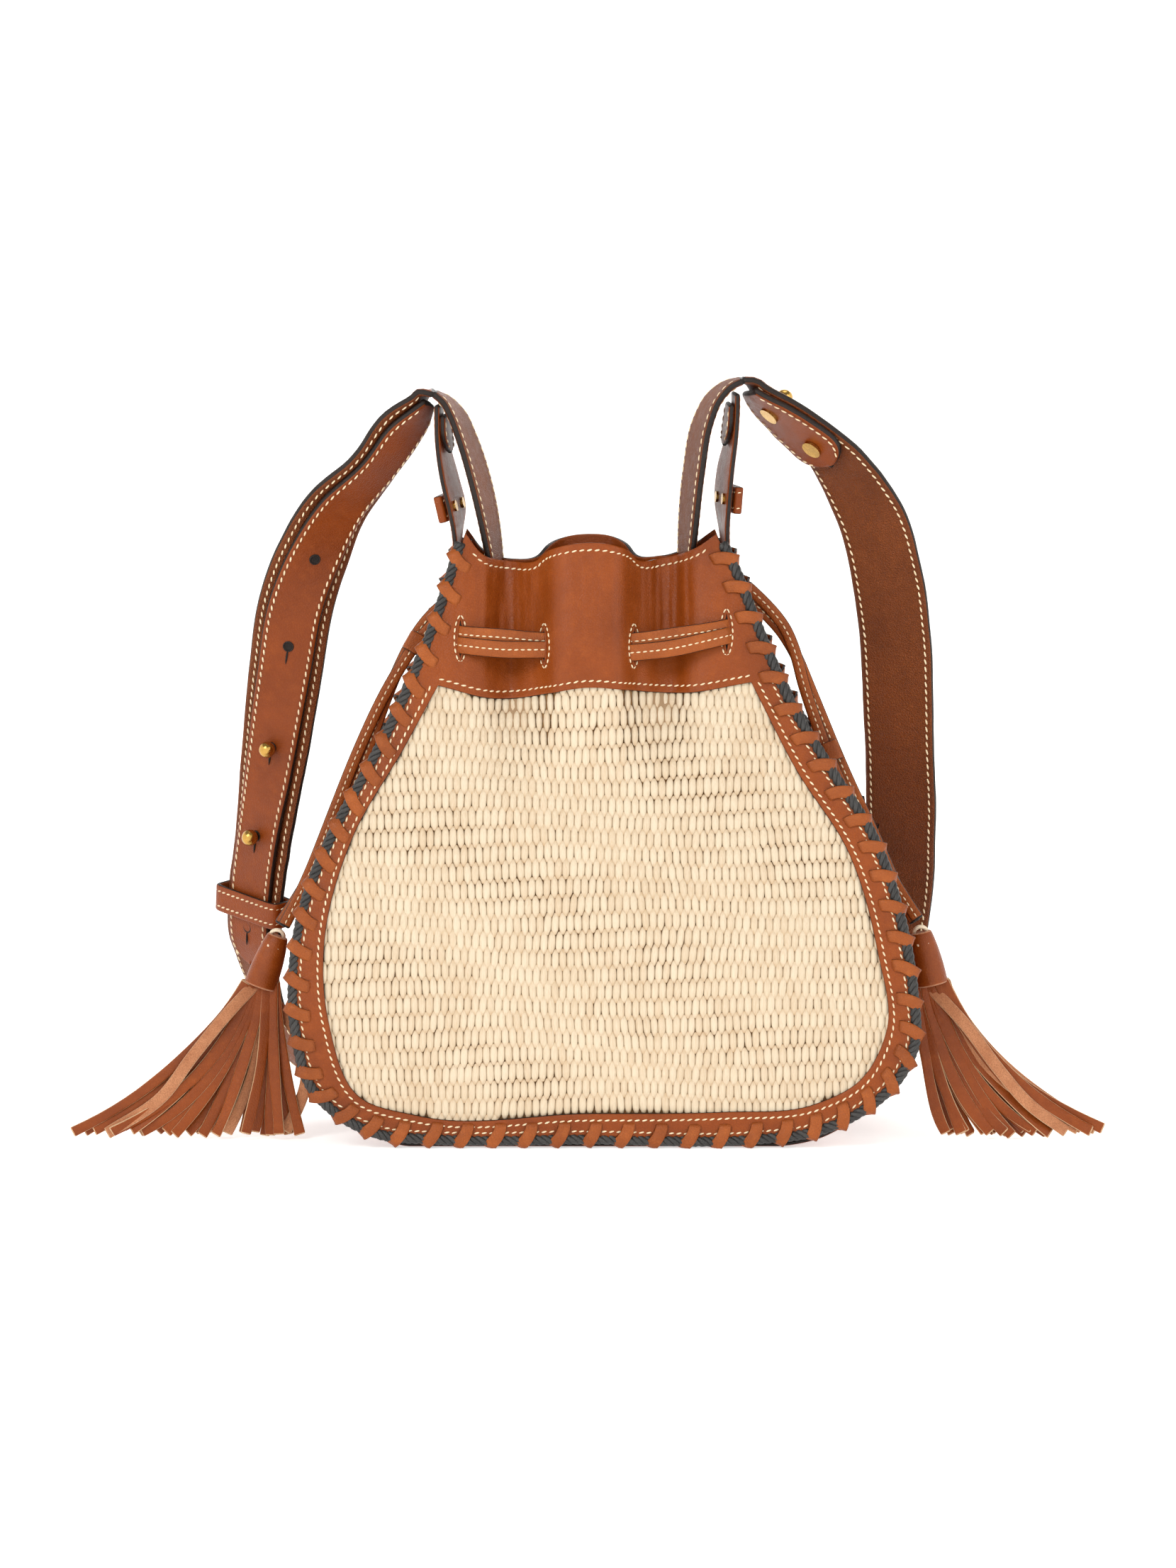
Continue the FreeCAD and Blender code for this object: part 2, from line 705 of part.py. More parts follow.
strap_band = ribbon(strap_line, size("strap_thick"))
add_shape("shoulder_strap", drilled(strap_band, left_stud_frames + right_stud_frames, hole_radius))
hole_line = [between(strap_line, 1, 0.5)] + strap_line[2:13] + [between(strap_line, 12, 0.55)]
hole_strap = ribbon(hole_line, size("strap_thick"), ply_lift)
add_shape("hole_strap", drilled(hole_strap, left_stud_frames + spare_hole_frames, hole_radius))
stud_start = between(strap_line, last_run - 4, 0.55)
stud_line = [stud_start] + strap_line[-5:-2] + [between(strap_line, last_run - 1, 0.5)]
stud_tab = ribbon(stud_line, size("strap_thick"), ply_lift)
add_shape("stud_tab", drilled(stud_tab, right_stud_frames, hole_radius))
add_shape("left_strap_tail", ribbon(vectors(LEFT_TAIL), size("strap_thick")))
add_shape("right_strap_tail", ribbon(vectors(RIGHT_TAIL), size("strap_thick")))


TONGUE_MARGIN = 0.6
TONGUE_FOOT = 0.3


def tongue(tab, side):
    """The rounded end of a strap ply, sewn on the inner side of a gusset tab."""
    half = size("tab_half_width") - TONGUE_MARGIN
    pairs = [(Vector(near, -half, z), Vector(far, half, z)) for near, far, z in tab[:2]]
    near, far, z = tab[2]
    below = (Vector(near, -half, z), Vector(far, half, z))
    foot = between([pairs[1], below], 0, TONGUE_FOOT)
    lift = (size("gusset_thick") + size("tongue_thick")) / 2 + size("ply_gap")
    return ribbon(pairs + [foot], size("tongue_thick"), side * lift)


add_shape("hole_strap_tongue", tongue(LEFT_TAB, 1))
add_shape("stud_tab_tongue", tongue(RIGHT_TAB, -1))


# ---- Studs, keepers and rivets ----

BALL_RISE = 1.4
DISC_GAP = 0.05


def ball_stud(label, at, direction, neck):
    """A disc, a neck and a ball in one, standing on its own Z from the disc's upper face."""
    disc = doc.addObject("Part::Cylinder", label + "_disc")
    bind(disc, Radius="Sizes.disc_dia / 2", Height="Sizes.disc_thick", Placement__Base__z="-Sizes.disc_thick")
    stem = doc.addObject("Part::Cylinder", label + "_neck")
    bind(stem, Radius="Sizes.neck_dia / 2", Height="Sizes.%s" % neck)
    ball = doc.addObject("Part::Sphere", label + "_ball")
    bind(ball, Radius="Sizes.ball_dia / 2", Placement__Base__z="Sizes.%s + %s" % (neck, BALL_RISE))
    stud = doc.addObject("Part::MultiFuse", label)
    stud.Label = label
    stud.Shapes = [disc, stem, ball]
    place(stud, at, direction.cross(Vector(0.3, 1, 0)).normalize(), direction)
    PIECES.append(stud)


back_of_strap = size("strap_thick") / 2 + DISC_GAP
for label, frame in zip(("upper_ball_stud", "lower_ball_stud"), left_stud_frames):
    ball_stud(label, frame[0] - frame[3] * back_of_strap, frame[3], "neck_length")
front_of_tab = size("strap_thick") / 2 + ply_lift + DISC_GAP
for label, frame in zip(("upper_tab_stud", "lower_tab_stud"), right_stud_frames):
    ball_stud(label, frame[0] + frame[3] * front_of_tab, frame[3] * -1, "tab_neck_length")

keeper_at, keeper_along, keeper_across, keeper_normal = strap_frame(strap_line, 11, 0.36)
print("strap keeper axis up", keeper_along * -1)
loop_piece(
    "strap_keeper",
    "keeper",
    "Sizes.keeper_width",
    "Sizes.keeper_deep",
    "Sizes.keeper_tall",
    keeper_at + keeper_normal * (ply_lift / 2),
    keeper_across,
    keeper_along * -1,
)


def tab_frame(tab, side):
    """A place on a gusset tab where its small keeper is riveted: middle, upward and outward directions."""
    pairs = [(Vector(near, 0, z), Vector(far, 0, z)) for near, far, z in tab]
    low, high = (pairs[3][0] + pairs[3][1]) * 0.5, (pairs[2][0] + pairs[2][1]) * 0.5
    upward = (high - low).normalize()
    twist = math.atan2(tab[3][1] - tab[3][0], 2 * size("tab_half_width"))
    outward = Rotation(Vector(0, 0, 1), -math.degrees(twist)).multVec(Vector(side, 0, 0))
    return low, upward, (outward - upward * outward.dot(upward)).normalize()


BRIDGE_RISE = 2.0
SHANK_RADIUS = 1.0

for name, tab, side in (("left", LEFT_TAB, -1), ("right", RIGHT_TAB, 1)):
    at, upward, outward = tab_frame(tab, side)
    at = at + upward * BRIDGE_RISE
    sideways = upward.cross(outward).normalize()
    clear = size("gusset_thick") / 2 + size("bridge_deep") / 2 + size("bridge_gap")
    bridge_dims = ["Sizes.bridge_width", "Sizes.bridge_deep", "Sizes.bridge_tall"]
    loop_piece(name + "_tab_keeper", "bridge", *bridge_dims, at + outward * clear, sideways, upward)
    rivets = []
    for step in (-0.5, 0.5):
        back = size("gusset_thick") / 2 + size("rivet_head")
        start = at + sideways * (step * size("rivet_spacing")) - outward * back
        rivets.append(Part.makeCylinder(size("rivet_dia") / 2, size("rivet_head"), start, outward))
        shank = size("rivet_length") - size("rivet_head")
        rivets.append(Part.makeCylinder(SHANK_RADIUS, shank, start, outward))
    left_rivet, right_rivet = rivets[0].fuse(rivets[1]), rivets[2].fuse(rivets[3])
    add_shape(name + "_tab_rivets", Part.makeCompound([left_rivet, right_rivet]))


# ---- Tassels ----

STRIP_SECTIONS = 7
STRIP_PITCH = 1.2
STRIP_LAYERS = 4
BEND_HEIGHT = 24.0
BEND_PART = 0.25
TIP_CLEARANCE = 0.6
HEAD_GAP = 0.4


def make_tassel(name, pivot, lean, tips):
    """A rolled head that hangs from its tie, and a fan of cut strips below it."""
    down = Vector(lean, 0, -1).normalize()
    head = doc.addObject("Part::Cone", name + "_tassel_head")
    head.Label = name + "_tassel_head"
    bind(head, Radius1="Sizes.head_foot_dia / 2", Radius2="Sizes.head_top_dia / 2")
    bind(head, Height="Sizes.head_length")
    foot = pivot + down * size("head_length")
    place(head, foot, Vector(0, 1, 0), down * -1)
    PIECES.append(head)
    ring = doc.addObject("Part::Torus", name + "_tassel_tie")
    ring.Label = name + "_tassel_tie"
    bind(ring, Radius1="Sizes.tie_ring_dia / 2", Radius2="Sizes.tie_cord_dia / 2")
    place(ring, pivot, Vector(1, 0, 0), Vector(0, 1, 0))
    PIECES.append(ring)
    count = int(size("strip_count"))
    half = size("strip_width") / 2
    strips = []
    for i in range(count):
        depth = pivot.y + (i % STRIP_LAYERS - (STRIP_LAYERS - 1) / 2) * size("strip_layer")
        fan = (i - (count - 1) / 2) * STRIP_PITCH
        start = Vector(foot.x + fan, depth, foot.z - HEAD_GAP)
        tip_x = tips[0] + (tips[1] - tips[0]) * i / (count - 1)
        bend = Vector(start.x + BEND_PART * (tip_x - start.x), depth, BEND_HEIGHT)
        flat = abs(tip_x - bend.x) / math.hypot(tip_x - bend.x, bend.z)
        tip = Vector(tip_x, depth, TIP_CLEARANCE + half * flat)
        pairs = []
        for j in range(STRIP_SECTIONS):
            part = j / (STRIP_SECTIONS - 1)
            at = start * (1 - part) ** 2 + bend * (2 * part * (1 - part)) + tip * part ** 2
            along = (bend - start) * (1 - part) + (tip - bend) * part
            across = Vector(-along.z, 0, along.x).normalize() * half
            pairs.append((at - across, at + across))
        strips.append(ribbon(pairs, size("strip_thick")))
    add_shape(name + "_fringe", Part.makeCompound(strips))


make_tassel("left", Vector(-138.4, -25, 91), -0.36, (-229.0, -127.5))
make_tassel("right", Vector(148.0, -25, 92.5), 0.22, (158.5, 229.0))


# ---- Checks and export ----

doc.recompute()
for item in doc.Objects:
    if any(state in ("Invalid", "Error") for state in item.State):
        raise RuntimeError("%s failed: %s" % (item.Label, item.State))
for piece in PIECES:
    if piece.Shape.isNull() or not piece.Shape.isValid():
        raise RuntimeError("%s has no valid shape" % piece.Label)

os.makedirs("parts", exist_ok=True)
for piece in PIECES:
    piece.Shape.exportStep("parts/%s.step" % piece.Label)
    solids, volume, box = len(piece.Shape.Solids), piece.Shape.Volume, piece.Shape.BoundBox
    print("%-22s solids %3d volume %9.1f" % (piece.Label, solids, volume))
    print("%22s z %.2f to %.2f" % ("", box.ZMin, box.ZMax))
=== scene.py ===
import bpy
import bmesh
import math
import random
import numpy as np
from mathutils import Matrix, Vector, noise


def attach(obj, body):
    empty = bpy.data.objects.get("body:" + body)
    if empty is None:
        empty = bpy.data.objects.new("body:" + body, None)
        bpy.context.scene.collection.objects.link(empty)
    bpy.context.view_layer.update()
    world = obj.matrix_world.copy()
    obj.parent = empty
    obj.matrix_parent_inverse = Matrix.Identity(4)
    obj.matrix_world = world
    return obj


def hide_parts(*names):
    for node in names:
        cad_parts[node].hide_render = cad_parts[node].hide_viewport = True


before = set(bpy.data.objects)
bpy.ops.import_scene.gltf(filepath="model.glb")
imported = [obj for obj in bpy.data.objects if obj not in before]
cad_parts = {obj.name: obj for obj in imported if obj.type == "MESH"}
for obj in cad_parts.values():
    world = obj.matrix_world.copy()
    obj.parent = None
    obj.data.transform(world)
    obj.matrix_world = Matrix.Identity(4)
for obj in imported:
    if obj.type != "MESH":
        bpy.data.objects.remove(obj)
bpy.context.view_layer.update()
MM = 0.001
rng = random.Random(11)

# Lengths below are in millimetres, and piece_from() turns each mesh into metres.

# ---- Camera, light and floor ----

FRAME_HEIGHT = 0.69125
DISTANCE = 3.2
ELEVATION = math.radians(5.0)
TARGET = Vector((0.0, -0.05, 0.16125))


def look_at(obj, target):
    obj.rotation_euler = (target - obj.location).to_track_quat("-Z", "Y").to_euler()


camera_data = bpy.data.cameras.new("camera")
camera_data.sensor_fit = "VERTICAL"
camera_data.sensor_height = 36.0
camera_data.lens = 36.0 * DISTANCE / FRAME_HEIGHT
camera = bpy.data.objects.new("camera", camera_data)
bpy.context.scene.collection.objects.link(camera)
camera.location = TARGET + Vector((0.0, -math.cos(ELEVATION), math.sin(ELEVATION))) * DISTANCE
look_at(camera, TARGET)
bpy.context.scene.camera = camera
bpy.context.scene.view_settings.view_transform = "Standard"

world = bpy.data.worlds.new("studio")
world.use_nodes = True
world.node_tree.nodes["Background"].inputs["Color"].default_value = (1.0, 0.985, 0.96, 1.0)
world.node_tree.nodes["Background"].inputs["Strength"].default_value = 0.34
bpy.context.scene.world = world


def area_light(name, location, across, power, colour=(1.0, 1.0, 1.0)):
    data = bpy.data.lights.new(name, "AREA")
    data.shape = "DISK"
    data.size = across
    data.energy = power
    data.color = colour
    light = bpy.data.objects.new(name, data)
    light.location = location
    look_at(light, Vector((0.0, 0.0, 0.15)))
    bpy.context.scene.collection.objects.link(light)


area_light("key", (-1.3, -2.1, 1.9), 1.3, 33.0, (1.0, 0.99, 0.97))
area_light("fill", (2.2, -1.5, 1.2), 1.8, 9.0)
area_light("top", (0.2, 0.3, 2.6), 1.6, 13.0)
area_light("rear", (0.6, 2.6, 1.6), 1.8, 16.0)


# ---- Materials ----

def new_group(name, inputs, outputs):
    group = bpy.data.node_groups.new(name, "ShaderNodeTree")
    for kind, label, value in inputs:
        socket = group.interface.new_socket(label, in_out="INPUT", socket_type=kind)
        socket.default_value = value
    for kind, label in outputs:
        group.interface.new_socket(label, in_out="OUTPUT", socket_type=kind)
    source = group.nodes.new("NodeGroupInput")
    sink = group.nodes.new("NodeGroupOutput")
    return group, source, sink


def add(tree, kind, settings=(), **inputs):
    """A node with its settings and inputs, where an input is a value or another node's socket."""
    node = tree.nodes.new(kind)
    for key, value in dict(settings).items():
        setattr(node, key, value)
    for key, value in inputs.items():
        socket = node.inputs[int(key[1:])] if key[1:].isdigit() else node.inputs[key.replace("_", " ")]
        if isinstance(value, bpy.types.NodeSocket):
            tree.links.new(value, socket)
        else:
            socket.default_value = value
    return node


def noise_value(tree, coords, scale, detail=3.0, rough=0.55):
    node = add(tree, "ShaderNodeTexNoise", Vector=coords, Scale=scale, Detail=detail, Roughness=rough)
    return node.outputs["Fac"]


def math_node(tree, operation, first, second=0.0, clamp=False):
    settings = {"operation": operation, "use_clamp": clamp}
    return add(tree, "ShaderNodeMath", settings, i0=first, i1=second).outputs[0]


def ranged(tree, value, low, high, to_low, to_high):
    node = add(tree, "ShaderNodeMapRange", {"clamp": True}, i0=value, i1=low, i2=high, i3=to_low, i4=to_high)
    return node.outputs["Result"]


def mix_colour(tree, factor, first, second, blend="MIX"):
    node = tree.nodes.new("ShaderNodeMix")
    node.data_type = "RGBA"
    node.blend_type = blend
    for socket, value in ((node.inputs["Factor"], factor), (node.inputs[6], first), (node.inputs[7], second)):
        if isinstance(value, bpy.types.NodeSocket):
            tree.links.new(value, socket)
        else:
            socket.default_value = value
    return node.outputs[2]


def give_out(group, sink, colour, height, strength, distance=0.0004):
    """Joins a group's colour, and a normal made from its height, to its outputs."""
    bump = add(group, "ShaderNodeBump", Height=height, Strength=strength, Distance=distance)
    group.links.new(colour, sink.inputs["Color"])
    group.links.new(bump.outputs["Normal"], sink.inputs["Normal"])
    return group


def srgb(red, green, blue):
    """A colour given in 0-255 display values, as linear values."""
    linear = []
    for value in (red, green, blue):
        part = value / 255.0
        linear.append(part / 12.92 if part <= 0.04045 else ((part + 0.055) / 1.055) ** 2.4)
    return (*linear, 1.0)


def leather_group():
    """Tan leather: cloudy colour with lighter mottling, pores and fine creases, darker where a vertex
    attribute says, which holds real wear and, on the frame and the laces, painted shade.
    """
    group, source, sink = new_group(
        "leather_surface",
        [
            ("NodeSocketColor", "Base", (0.4, 0.1, 0.02, 1)),
            ("NodeSocketColor", "Dark", (0.2, 0.05, 0.01, 1)),
            ("NodeSocketColor", "Light", (0.6, 0.2, 0.06, 1)),
            ("NodeSocketFloat", "Grain", 0.3),
            ("NodeSocketFloat", "Roughness", 0.45),
        ],
        [("NodeSocketColor", "Color"), ("NodeSocketFloat", "Roughness"), ("NodeSocketVector", "Normal")],
    )
    coords = add(group, "ShaderNodeTexCoord").outputs["Object"]
    cloud = noise_value(group, coords, 26.0, 4.0, 0.6)
    mottle = noise_value(group, coords, 210.0, 4.0, 0.65)
    pores = add(group, "ShaderNodeTexVoronoi", {"feature": "DISTANCE_TO_EDGE"}, Vector=coords, Scale=850.0)
    creases = noise_value(group, coords, 1500.0, 3.0, 0.6)
    darkening = add(group, "ShaderNodeAttribute", {"attribute_name": "wear_and_shade"}).outputs["Fac"]
    shade = ranged(group, cloud, 0.28, 0.6, 0.3, 1.0)
    colour = mix_colour(group, shade, source.outputs["Dark"], source.outputs["Base"])
    light = ranged(group, mottle, 0.5, 0.8, 0.0, 0.4)
    colour = mix_colour(group, light, colour, source.outputs["Light"])
    # Darkens towards Dark by the vertex attribute: real wear on straps and loops, painted shade in the
    # frame's creases and where laces dip into their holes.
    dusk = ranged(group, darkening, 0.0, 1.0, 0.0, 0.85)
    colour = mix_colour(group, dusk, colour, source.outputs["Dark"])
    pit = ranged(group, pores.outputs["Distance"], 0.0, 0.14, 0.8, 0.0)
    colour = mix_colour(group, math_node(group, "MULTIPLY", pit, 0.28), colour, source.outputs["Dark"])
    gloss = ranged(group, mottle, 0.3, 0.75, -0.07, 0.12)
    rough = math_node(group, "ADD", source.outputs["Roughness"], gloss, True)
    height = math_node(group, "ADD", ranged(group, pores.outputs["Distance"], 0.0, 0.22, 0.0, 1.0), creases)
    height = math_node(group, "ADD", height, math_node(group, "MULTIPLY", mottle, 1.6))
    group.links.new(rough, sink.inputs["Roughness"])
    return give_out(group, sink, colour, height, source.outputs["Grain"])


def suede_group():
    """The flesh side of leather: a soft nap with short fibres that lie in patches."""
    group, source, sink = new_group(
        "suede_surface",
        [("NodeSocketColor", "Base", (0.4, 0.2, 0.1, 1)), ("NodeSocketColor", "Light", (0.6, 0.4, 0.2, 1))],
        [("NodeSocketColor", "Color"), ("NodeSocketVector", "Normal")],
    )
    coords = add(group, "ShaderNodeTexCoord").outputs["Object"]
    patch = noise_value(group, coords, 60.0, 4.0, 0.6)
    fibres = noise_value(group, coords, 1900.0, 4.0, 0.7)
    lit = ranged(group, patch, 0.35, 0.7, 0.0, 1.0)
    colour = mix_colour(group, lit, source.outputs["Base"], source.outputs["Light"])
    dark = mix_colour(group, 1.0, colour, (0.62, 0.58, 0.55, 1.0), "MULTIPLY")
    colour = mix_colour(group, ranged(group, fibres, 0.35, 0.6, 0.0, 1.0), dark, colour)
    return give_out(group, sink, colour, fibres, 0.5, 0.0005)


def fibre_group():
    """Straw, thread or cord: a tone from the tone attribute, and fine fibres stretched along one axis."""
    group, source, sink = new_group(
        "fibre_surface",
        [
            ("NodeSocketColor", "Dark", (0.3, 0.2, 0.1, 1)),
            ("NodeSocketColor", "Light", (0.9, 0.8, 0.6, 1)),
            ("NodeSocketFloat", "Relief", 0.5),
            ("NodeSocketVector", "Stretch", (900.0, 900.0, 90.0)),
        ],
        [("NodeSocketColor", "Color"), ("NodeSocketVector", "Normal")],
    )
    coords = add(group, "ShaderNodeTexCoord").outputs["Object"]
    stretched = add(group, "ShaderNodeMapping", Vector=coords, Scale=source.outputs["Stretch"])
    fibres = noise_value(group, stretched.outputs["Vector"], 1.6, 3.0, 0.6)
    patch = noise_value(group, coords, 34.0, 3.0, 0.5)
    tone = add(group, "ShaderNodeAttribute", {"attribute_name": "tone"}).outputs["Fac"]
    mixed = math_node(group, "ADD", tone, ranged(group, fibres, 0.3, 0.7, -0.16, 0.14))
    mixed = math_node(group, "ADD", mixed, ranged(group, patch, 0.3, 0.7, -0.05, 0.05), True)
    colour = mix_colour(group, mixed, source.outputs["Dark"], source.outputs["Light"])
    return give_out(group, sink, colour, fibres, source.outputs["Relief"])


LEATHER, SUEDE, FIBRE = leather_group(), suede_group(), fibre_group()


def material(name, group, values, **shader):
    """A material whose colour, roughness and normal come from an effect group."""
    made = bpy.data.materials.new(name)
    made.use_nodes = True
    tree = made.node_tree
    principled = tree.nodes["Principled BSDF"]
    for key, value in shader.items():
        principled.inputs[key.replace("_", " ")].default_value = value
    effect = tree.nodes.new("ShaderNodeGroup")
    effect.node_tree = group
    for key, value in values.items():
        effect.inputs[key].default_value = value
    tree.links.new(effect.outputs["Color"], principled.inputs["Base Color"])
    tree.links.new(effect.outputs["Normal"], principled.inputs["Normal"])
    if "Roughness" in effect.outputs:
        tree.links.new(effect.outputs["Roughness"], principled.inputs["Roughness"])
    return made


def leather(name, base, dark, light, grain, rough, **shader):
    values = {"Base": srgb(*base), "Dark": srgb(*dark), "Light": srgb(*light)}
    values.update({"Grain": grain, "Roughness": rough})
    return material(name, LEATHER, values, **shader)


def fibre(name, dark, light, relief, stretch, **shader):
    values = {"Dark": srgb(*dark), "Light": srgb(*light), "Relief": relief, "Stretch": stretch}
    return material(name, FIBRE, values, **shader)


SATIN = {"Coat_Weight": 0.05, "Coat_Roughness": 0.25, "Specular_IOR_Level": 0.2}
MATT, PAINTED = {"Specular_IOR_Level": 0.2}, {"Specular_IOR_Level": 0.3}
TAN = leather("tan_leather_skin", (136, 63, 15), (104, 44, 9), (156, 79, 27), 0.26, 0.36, **SATIN)
STRAP = leather("strap_leather_skin", (132, 60, 14), (100, 42, 8), (152, 76, 25), 0.3, 0.38, **SATIN)
LACE = leather("lace_leather_skin", (154, 79, 29), (114, 54, 18), (180, 102, 48), 0.34, 0.4, **SATIN)
TASSEL = leather("tassel_leather_skin", (138, 65, 18), (104, 45, 10), (162, 83, 31), 0.24, 0.36, **SATIN)
UNDER = leather("strap_wrinkled_side", (120, 61, 25), (90, 43, 16), (142, 78, 36), 0.75, 0.5, **MATT)
NAP_TONES = {"Base": srgb(166, 104, 66), "Light": srgb(192, 132, 92)}
RAW_TONES = {"Base": srgb(190, 150, 112), "Light": srgb(214, 180, 142)}
NAP = material("tassel_flesh_side", SUEDE, NAP_TONES, Roughness=0.9, Sheen_Weight=0.2)
RAW = material("cut_leather_end", SUEDE, RAW_TONES, Roughness=0.9)
RIM = leather("painted_leather_edge", (32, 22, 17), (20, 14, 11), (52, 36, 27), 0.25, 0.5, **PAINTED)
WAXED = fibre("waxed_black_cord", (18, 18, 18), (52, 50, 48), 0.5, (700.0,) * 3, Roughness=0.5)
THREAD = fibre("cream_thread", (196, 168, 126), (242, 224, 190), 0.5, (1500.0,) * 3, Roughness=0.75)
STRAW = fibre("raffia_straw", (172, 135, 90), (209, 193, 168), 0.5, (1100.0, 1100.0, 120.0), Roughness=0.6)
# The raffia ground's dark brown is painted shade: the straw seen between the floats, coloured as if in
# shadow.
STRAW_GAP_SHADE = fibre("raffia_ground", (96, 62, 30), (196, 152, 98), 0.6, (800.0, 800.0, 120.0), Roughness=0.85)
CLOTH = fibre("lining_cloth", (150, 122, 92), (186, 160, 128), 0.4, (1800.0,) * 3, Roughness=0.9)
BOARD = fibre("base_board_cover", (140, 112, 84), (176, 150, 120), 0.4, (1800.0,) * 3, Roughness=0.9)
TIE = fibre("tassel_tie_cord", (186, 160, 130), (238, 222, 196), 0.5, (1500.0,) * 3, Roughness=0.8)
# Painted shade: a near-black colour that stands for the depth of punched holes, their cuts and the slit
# openings.
HOLE_SHADE = leather("punched_hole", (26, 17, 12), (16, 11, 8), (40, 26, 18), 0.1, 0.9)
BRASS = leather("brass_metal", (196, 156, 84), (170, 128, 58), (214, 178, 106), 0.06, 0.24, Metallic=1.0)


# ---- Shapes shared by the pieces ----

def clamp(value, low=0.0, high=1.0):
    return min(max(value, low), high)


def smooth_step(low, high, value):
    part = clamp((value - low) / (high - low))
    return part * part * (3.0 - 2.0 * part)


def half_depth(z):
    return 55.0 - 33.0 * clamp((z - 45.0) / 217.0) ** 1.3


def edge_half_width(z):
    return 134.0 - 74.0 * smooth_step(70.0, 265.0, z) - 34.0 * smooth_step(70.0, 0.0, z)


def panel_depth(x, z):
    """How far the panel stands from the bag's middle plane, with its middle pleat and two valleys."""
    bulge = 8.0 * math.sin(math.pi * clamp(z / 210.0)) * max(1.0 - (x / edge_half_width(z)) ** 2, 0.0)
    forward = 16.0 * math.exp(-((x / 18.8) ** 6))
    back = 12.0 * math.exp(-(((abs(x) - 35.0) / 9.0) ** 2))
    return half_depth(z) + bulge + smooth_step(150.0, 228.0, z) * (forward - back)


def curve(points, runs=20):
    """A dense smooth line through the points, in as many dimensions as they have."""
    p = np.array(points, dtype=float)
    chord = np.maximum(np.linalg.norm(np.diff(p, axis=0), axis=1), 1e-6)
    slope = np.zeros_like(p)
    secant = np.diff(p, axis=0) / chord[:, None]
    slope[0], slope[-1] = secant[0], secant[-1]
    for i in range(1, len(p) - 1):
        share = chord[i] / (chord[i - 1] + chord[i])
        slope[i] = secant[i - 1] * share + secant[i] * (1.0 - share)
    dense = []
    for i in range(len(chord)):
        for t in np.linspace(0.0, 1.0, runs, endpoint=False):
            a, b = 2 * t ** 3 - 3 * t ** 2 + 1, t ** 3 - 2 * t ** 2 + t
            c, d = -2 * t ** 3 + 3 * t ** 2, t ** 3 - t ** 2
            dense.append(a * p[i] + b * chord[i] * slope[i] + c * p[i + 1] + d * chord[i] * slope[i + 1])
    dense.append(p[-1])
    return np.array(dense)


def distances(line):
    """How far along a line each of its points lies."""
    return np.concatenate([[0.0], np.cumsum(np.linalg.norm(np.diff(line, axis=0), axis=1))])


def even(line, count):
    """Points evenly spaced by length along a dense line."""
    steps = distances(line)
    places = np.linspace(0.0, steps[-1], count)
    return np.stack([np.interp(places, steps, line[:, k]) for k in range(line.shape[1])], axis=1)


def line_length(line):
    return float(np.linalg.norm(np.diff(line, axis=0), axis=1).sum())


def unit(vectors):
    return vectors / np.maximum(np.linalg.norm(vectors, axis=-1, keepdims=True), 1e-9)


def normals_of(grid):
    return unit(np.cross(np.gradient(grid, axis=0), np.gradient(grid, axis=1)))


def add_sheet(bm, grid, materials=None):
    """A grid of points as a sheet. materials gives a face's material from its row and column."""
    rows, columns = grid.shape[:2]
    first = len(bm.faces)
    made = bmesh.ops.create_grid(bm, x_segments=columns - 1, y_segments=rows - 1, size=1.0)
    for vert, at in zip(made["verts"], grid.reshape(-1, 3)):
        vert.co = at
    bm.faces.ensure_lookup_table()
    for k in range(first, len(bm.faces)):
        face = bm.faces[k]
        face.smooth = True
        if materials:
            face.material_index = materials((k - first) // (columns - 1), (k - first) % (columns - 1))
    return made["verts"]


CAP_ROUNDING = 0.7


def slab(bm, top, thick, mats=(0, 1, 2), normals=None, ends=True, flip=False, end_mat=None):
    """A closed sheet of leather: its top face is the grid, its long edges and its ends are rounded."""
    up = normals_of(top) if normals is None else normals
    if flip:
        up = -up
    radius = thick / 2
    columns = top.shape[1]
    core = top - up * radius

    def rim(column, beside, angles):
        """The rows of points that round one long edge."""
        away = unit(top[:, column] - top[:, beside])
        for turn in map(math.radians, angles):
            reach = away * radius * math.sin(turn) + up[:, column] * radius * math.cos(turn)
            yield (core[:, column] + reach)[:, None]

    far, near = rim(-1, -2, (45, 90, 135)), rim(0, 1, (135, 90, 45))
    loop = np.concatenate([top, *far, (top - up * thick)[:, ::-1], *near, top[:, :1]], axis=1)
    if ends:
        sides = [core, core[:, -1:].repeat(3, 1), core[:, ::-1], core[:, :1].repeat(4, 1)]
        middle = np.concatenate(sides, axis=1)
        start = unit(loop[0] - loop[1]) * radius
        stop = unit(loop[-1] - loop[-2]) * radius
        caps = [middle[0] + start, middle[0] + ((loop[0] - middle[0]) + start) * CAP_ROUNDING]
        lids = [middle[-1] + ((loop[-1] - middle[-1]) + stop) * CAP_ROUNDING, middle[-1] + stop]
        loop = np.concatenate([caps, loop, lids], axis=0)
    edge_end = columns + 3
    under_end = edge_end + columns - 1
    last = loop.shape[0] - 1
    cap_mat = mats[1] if end_mat is None else end_mat

    def pick(row, column):
        if ends and (row < 2 or row >= last - 2):
            return cap_mat
        if column < columns or column > under_end + 2:
            return mats[0]
        if column < edge_end - 1 or under_end < column <= under_end + 2:
            return mats[1]
        return mats[2]

    return add_sheet(bm, loop, pick)


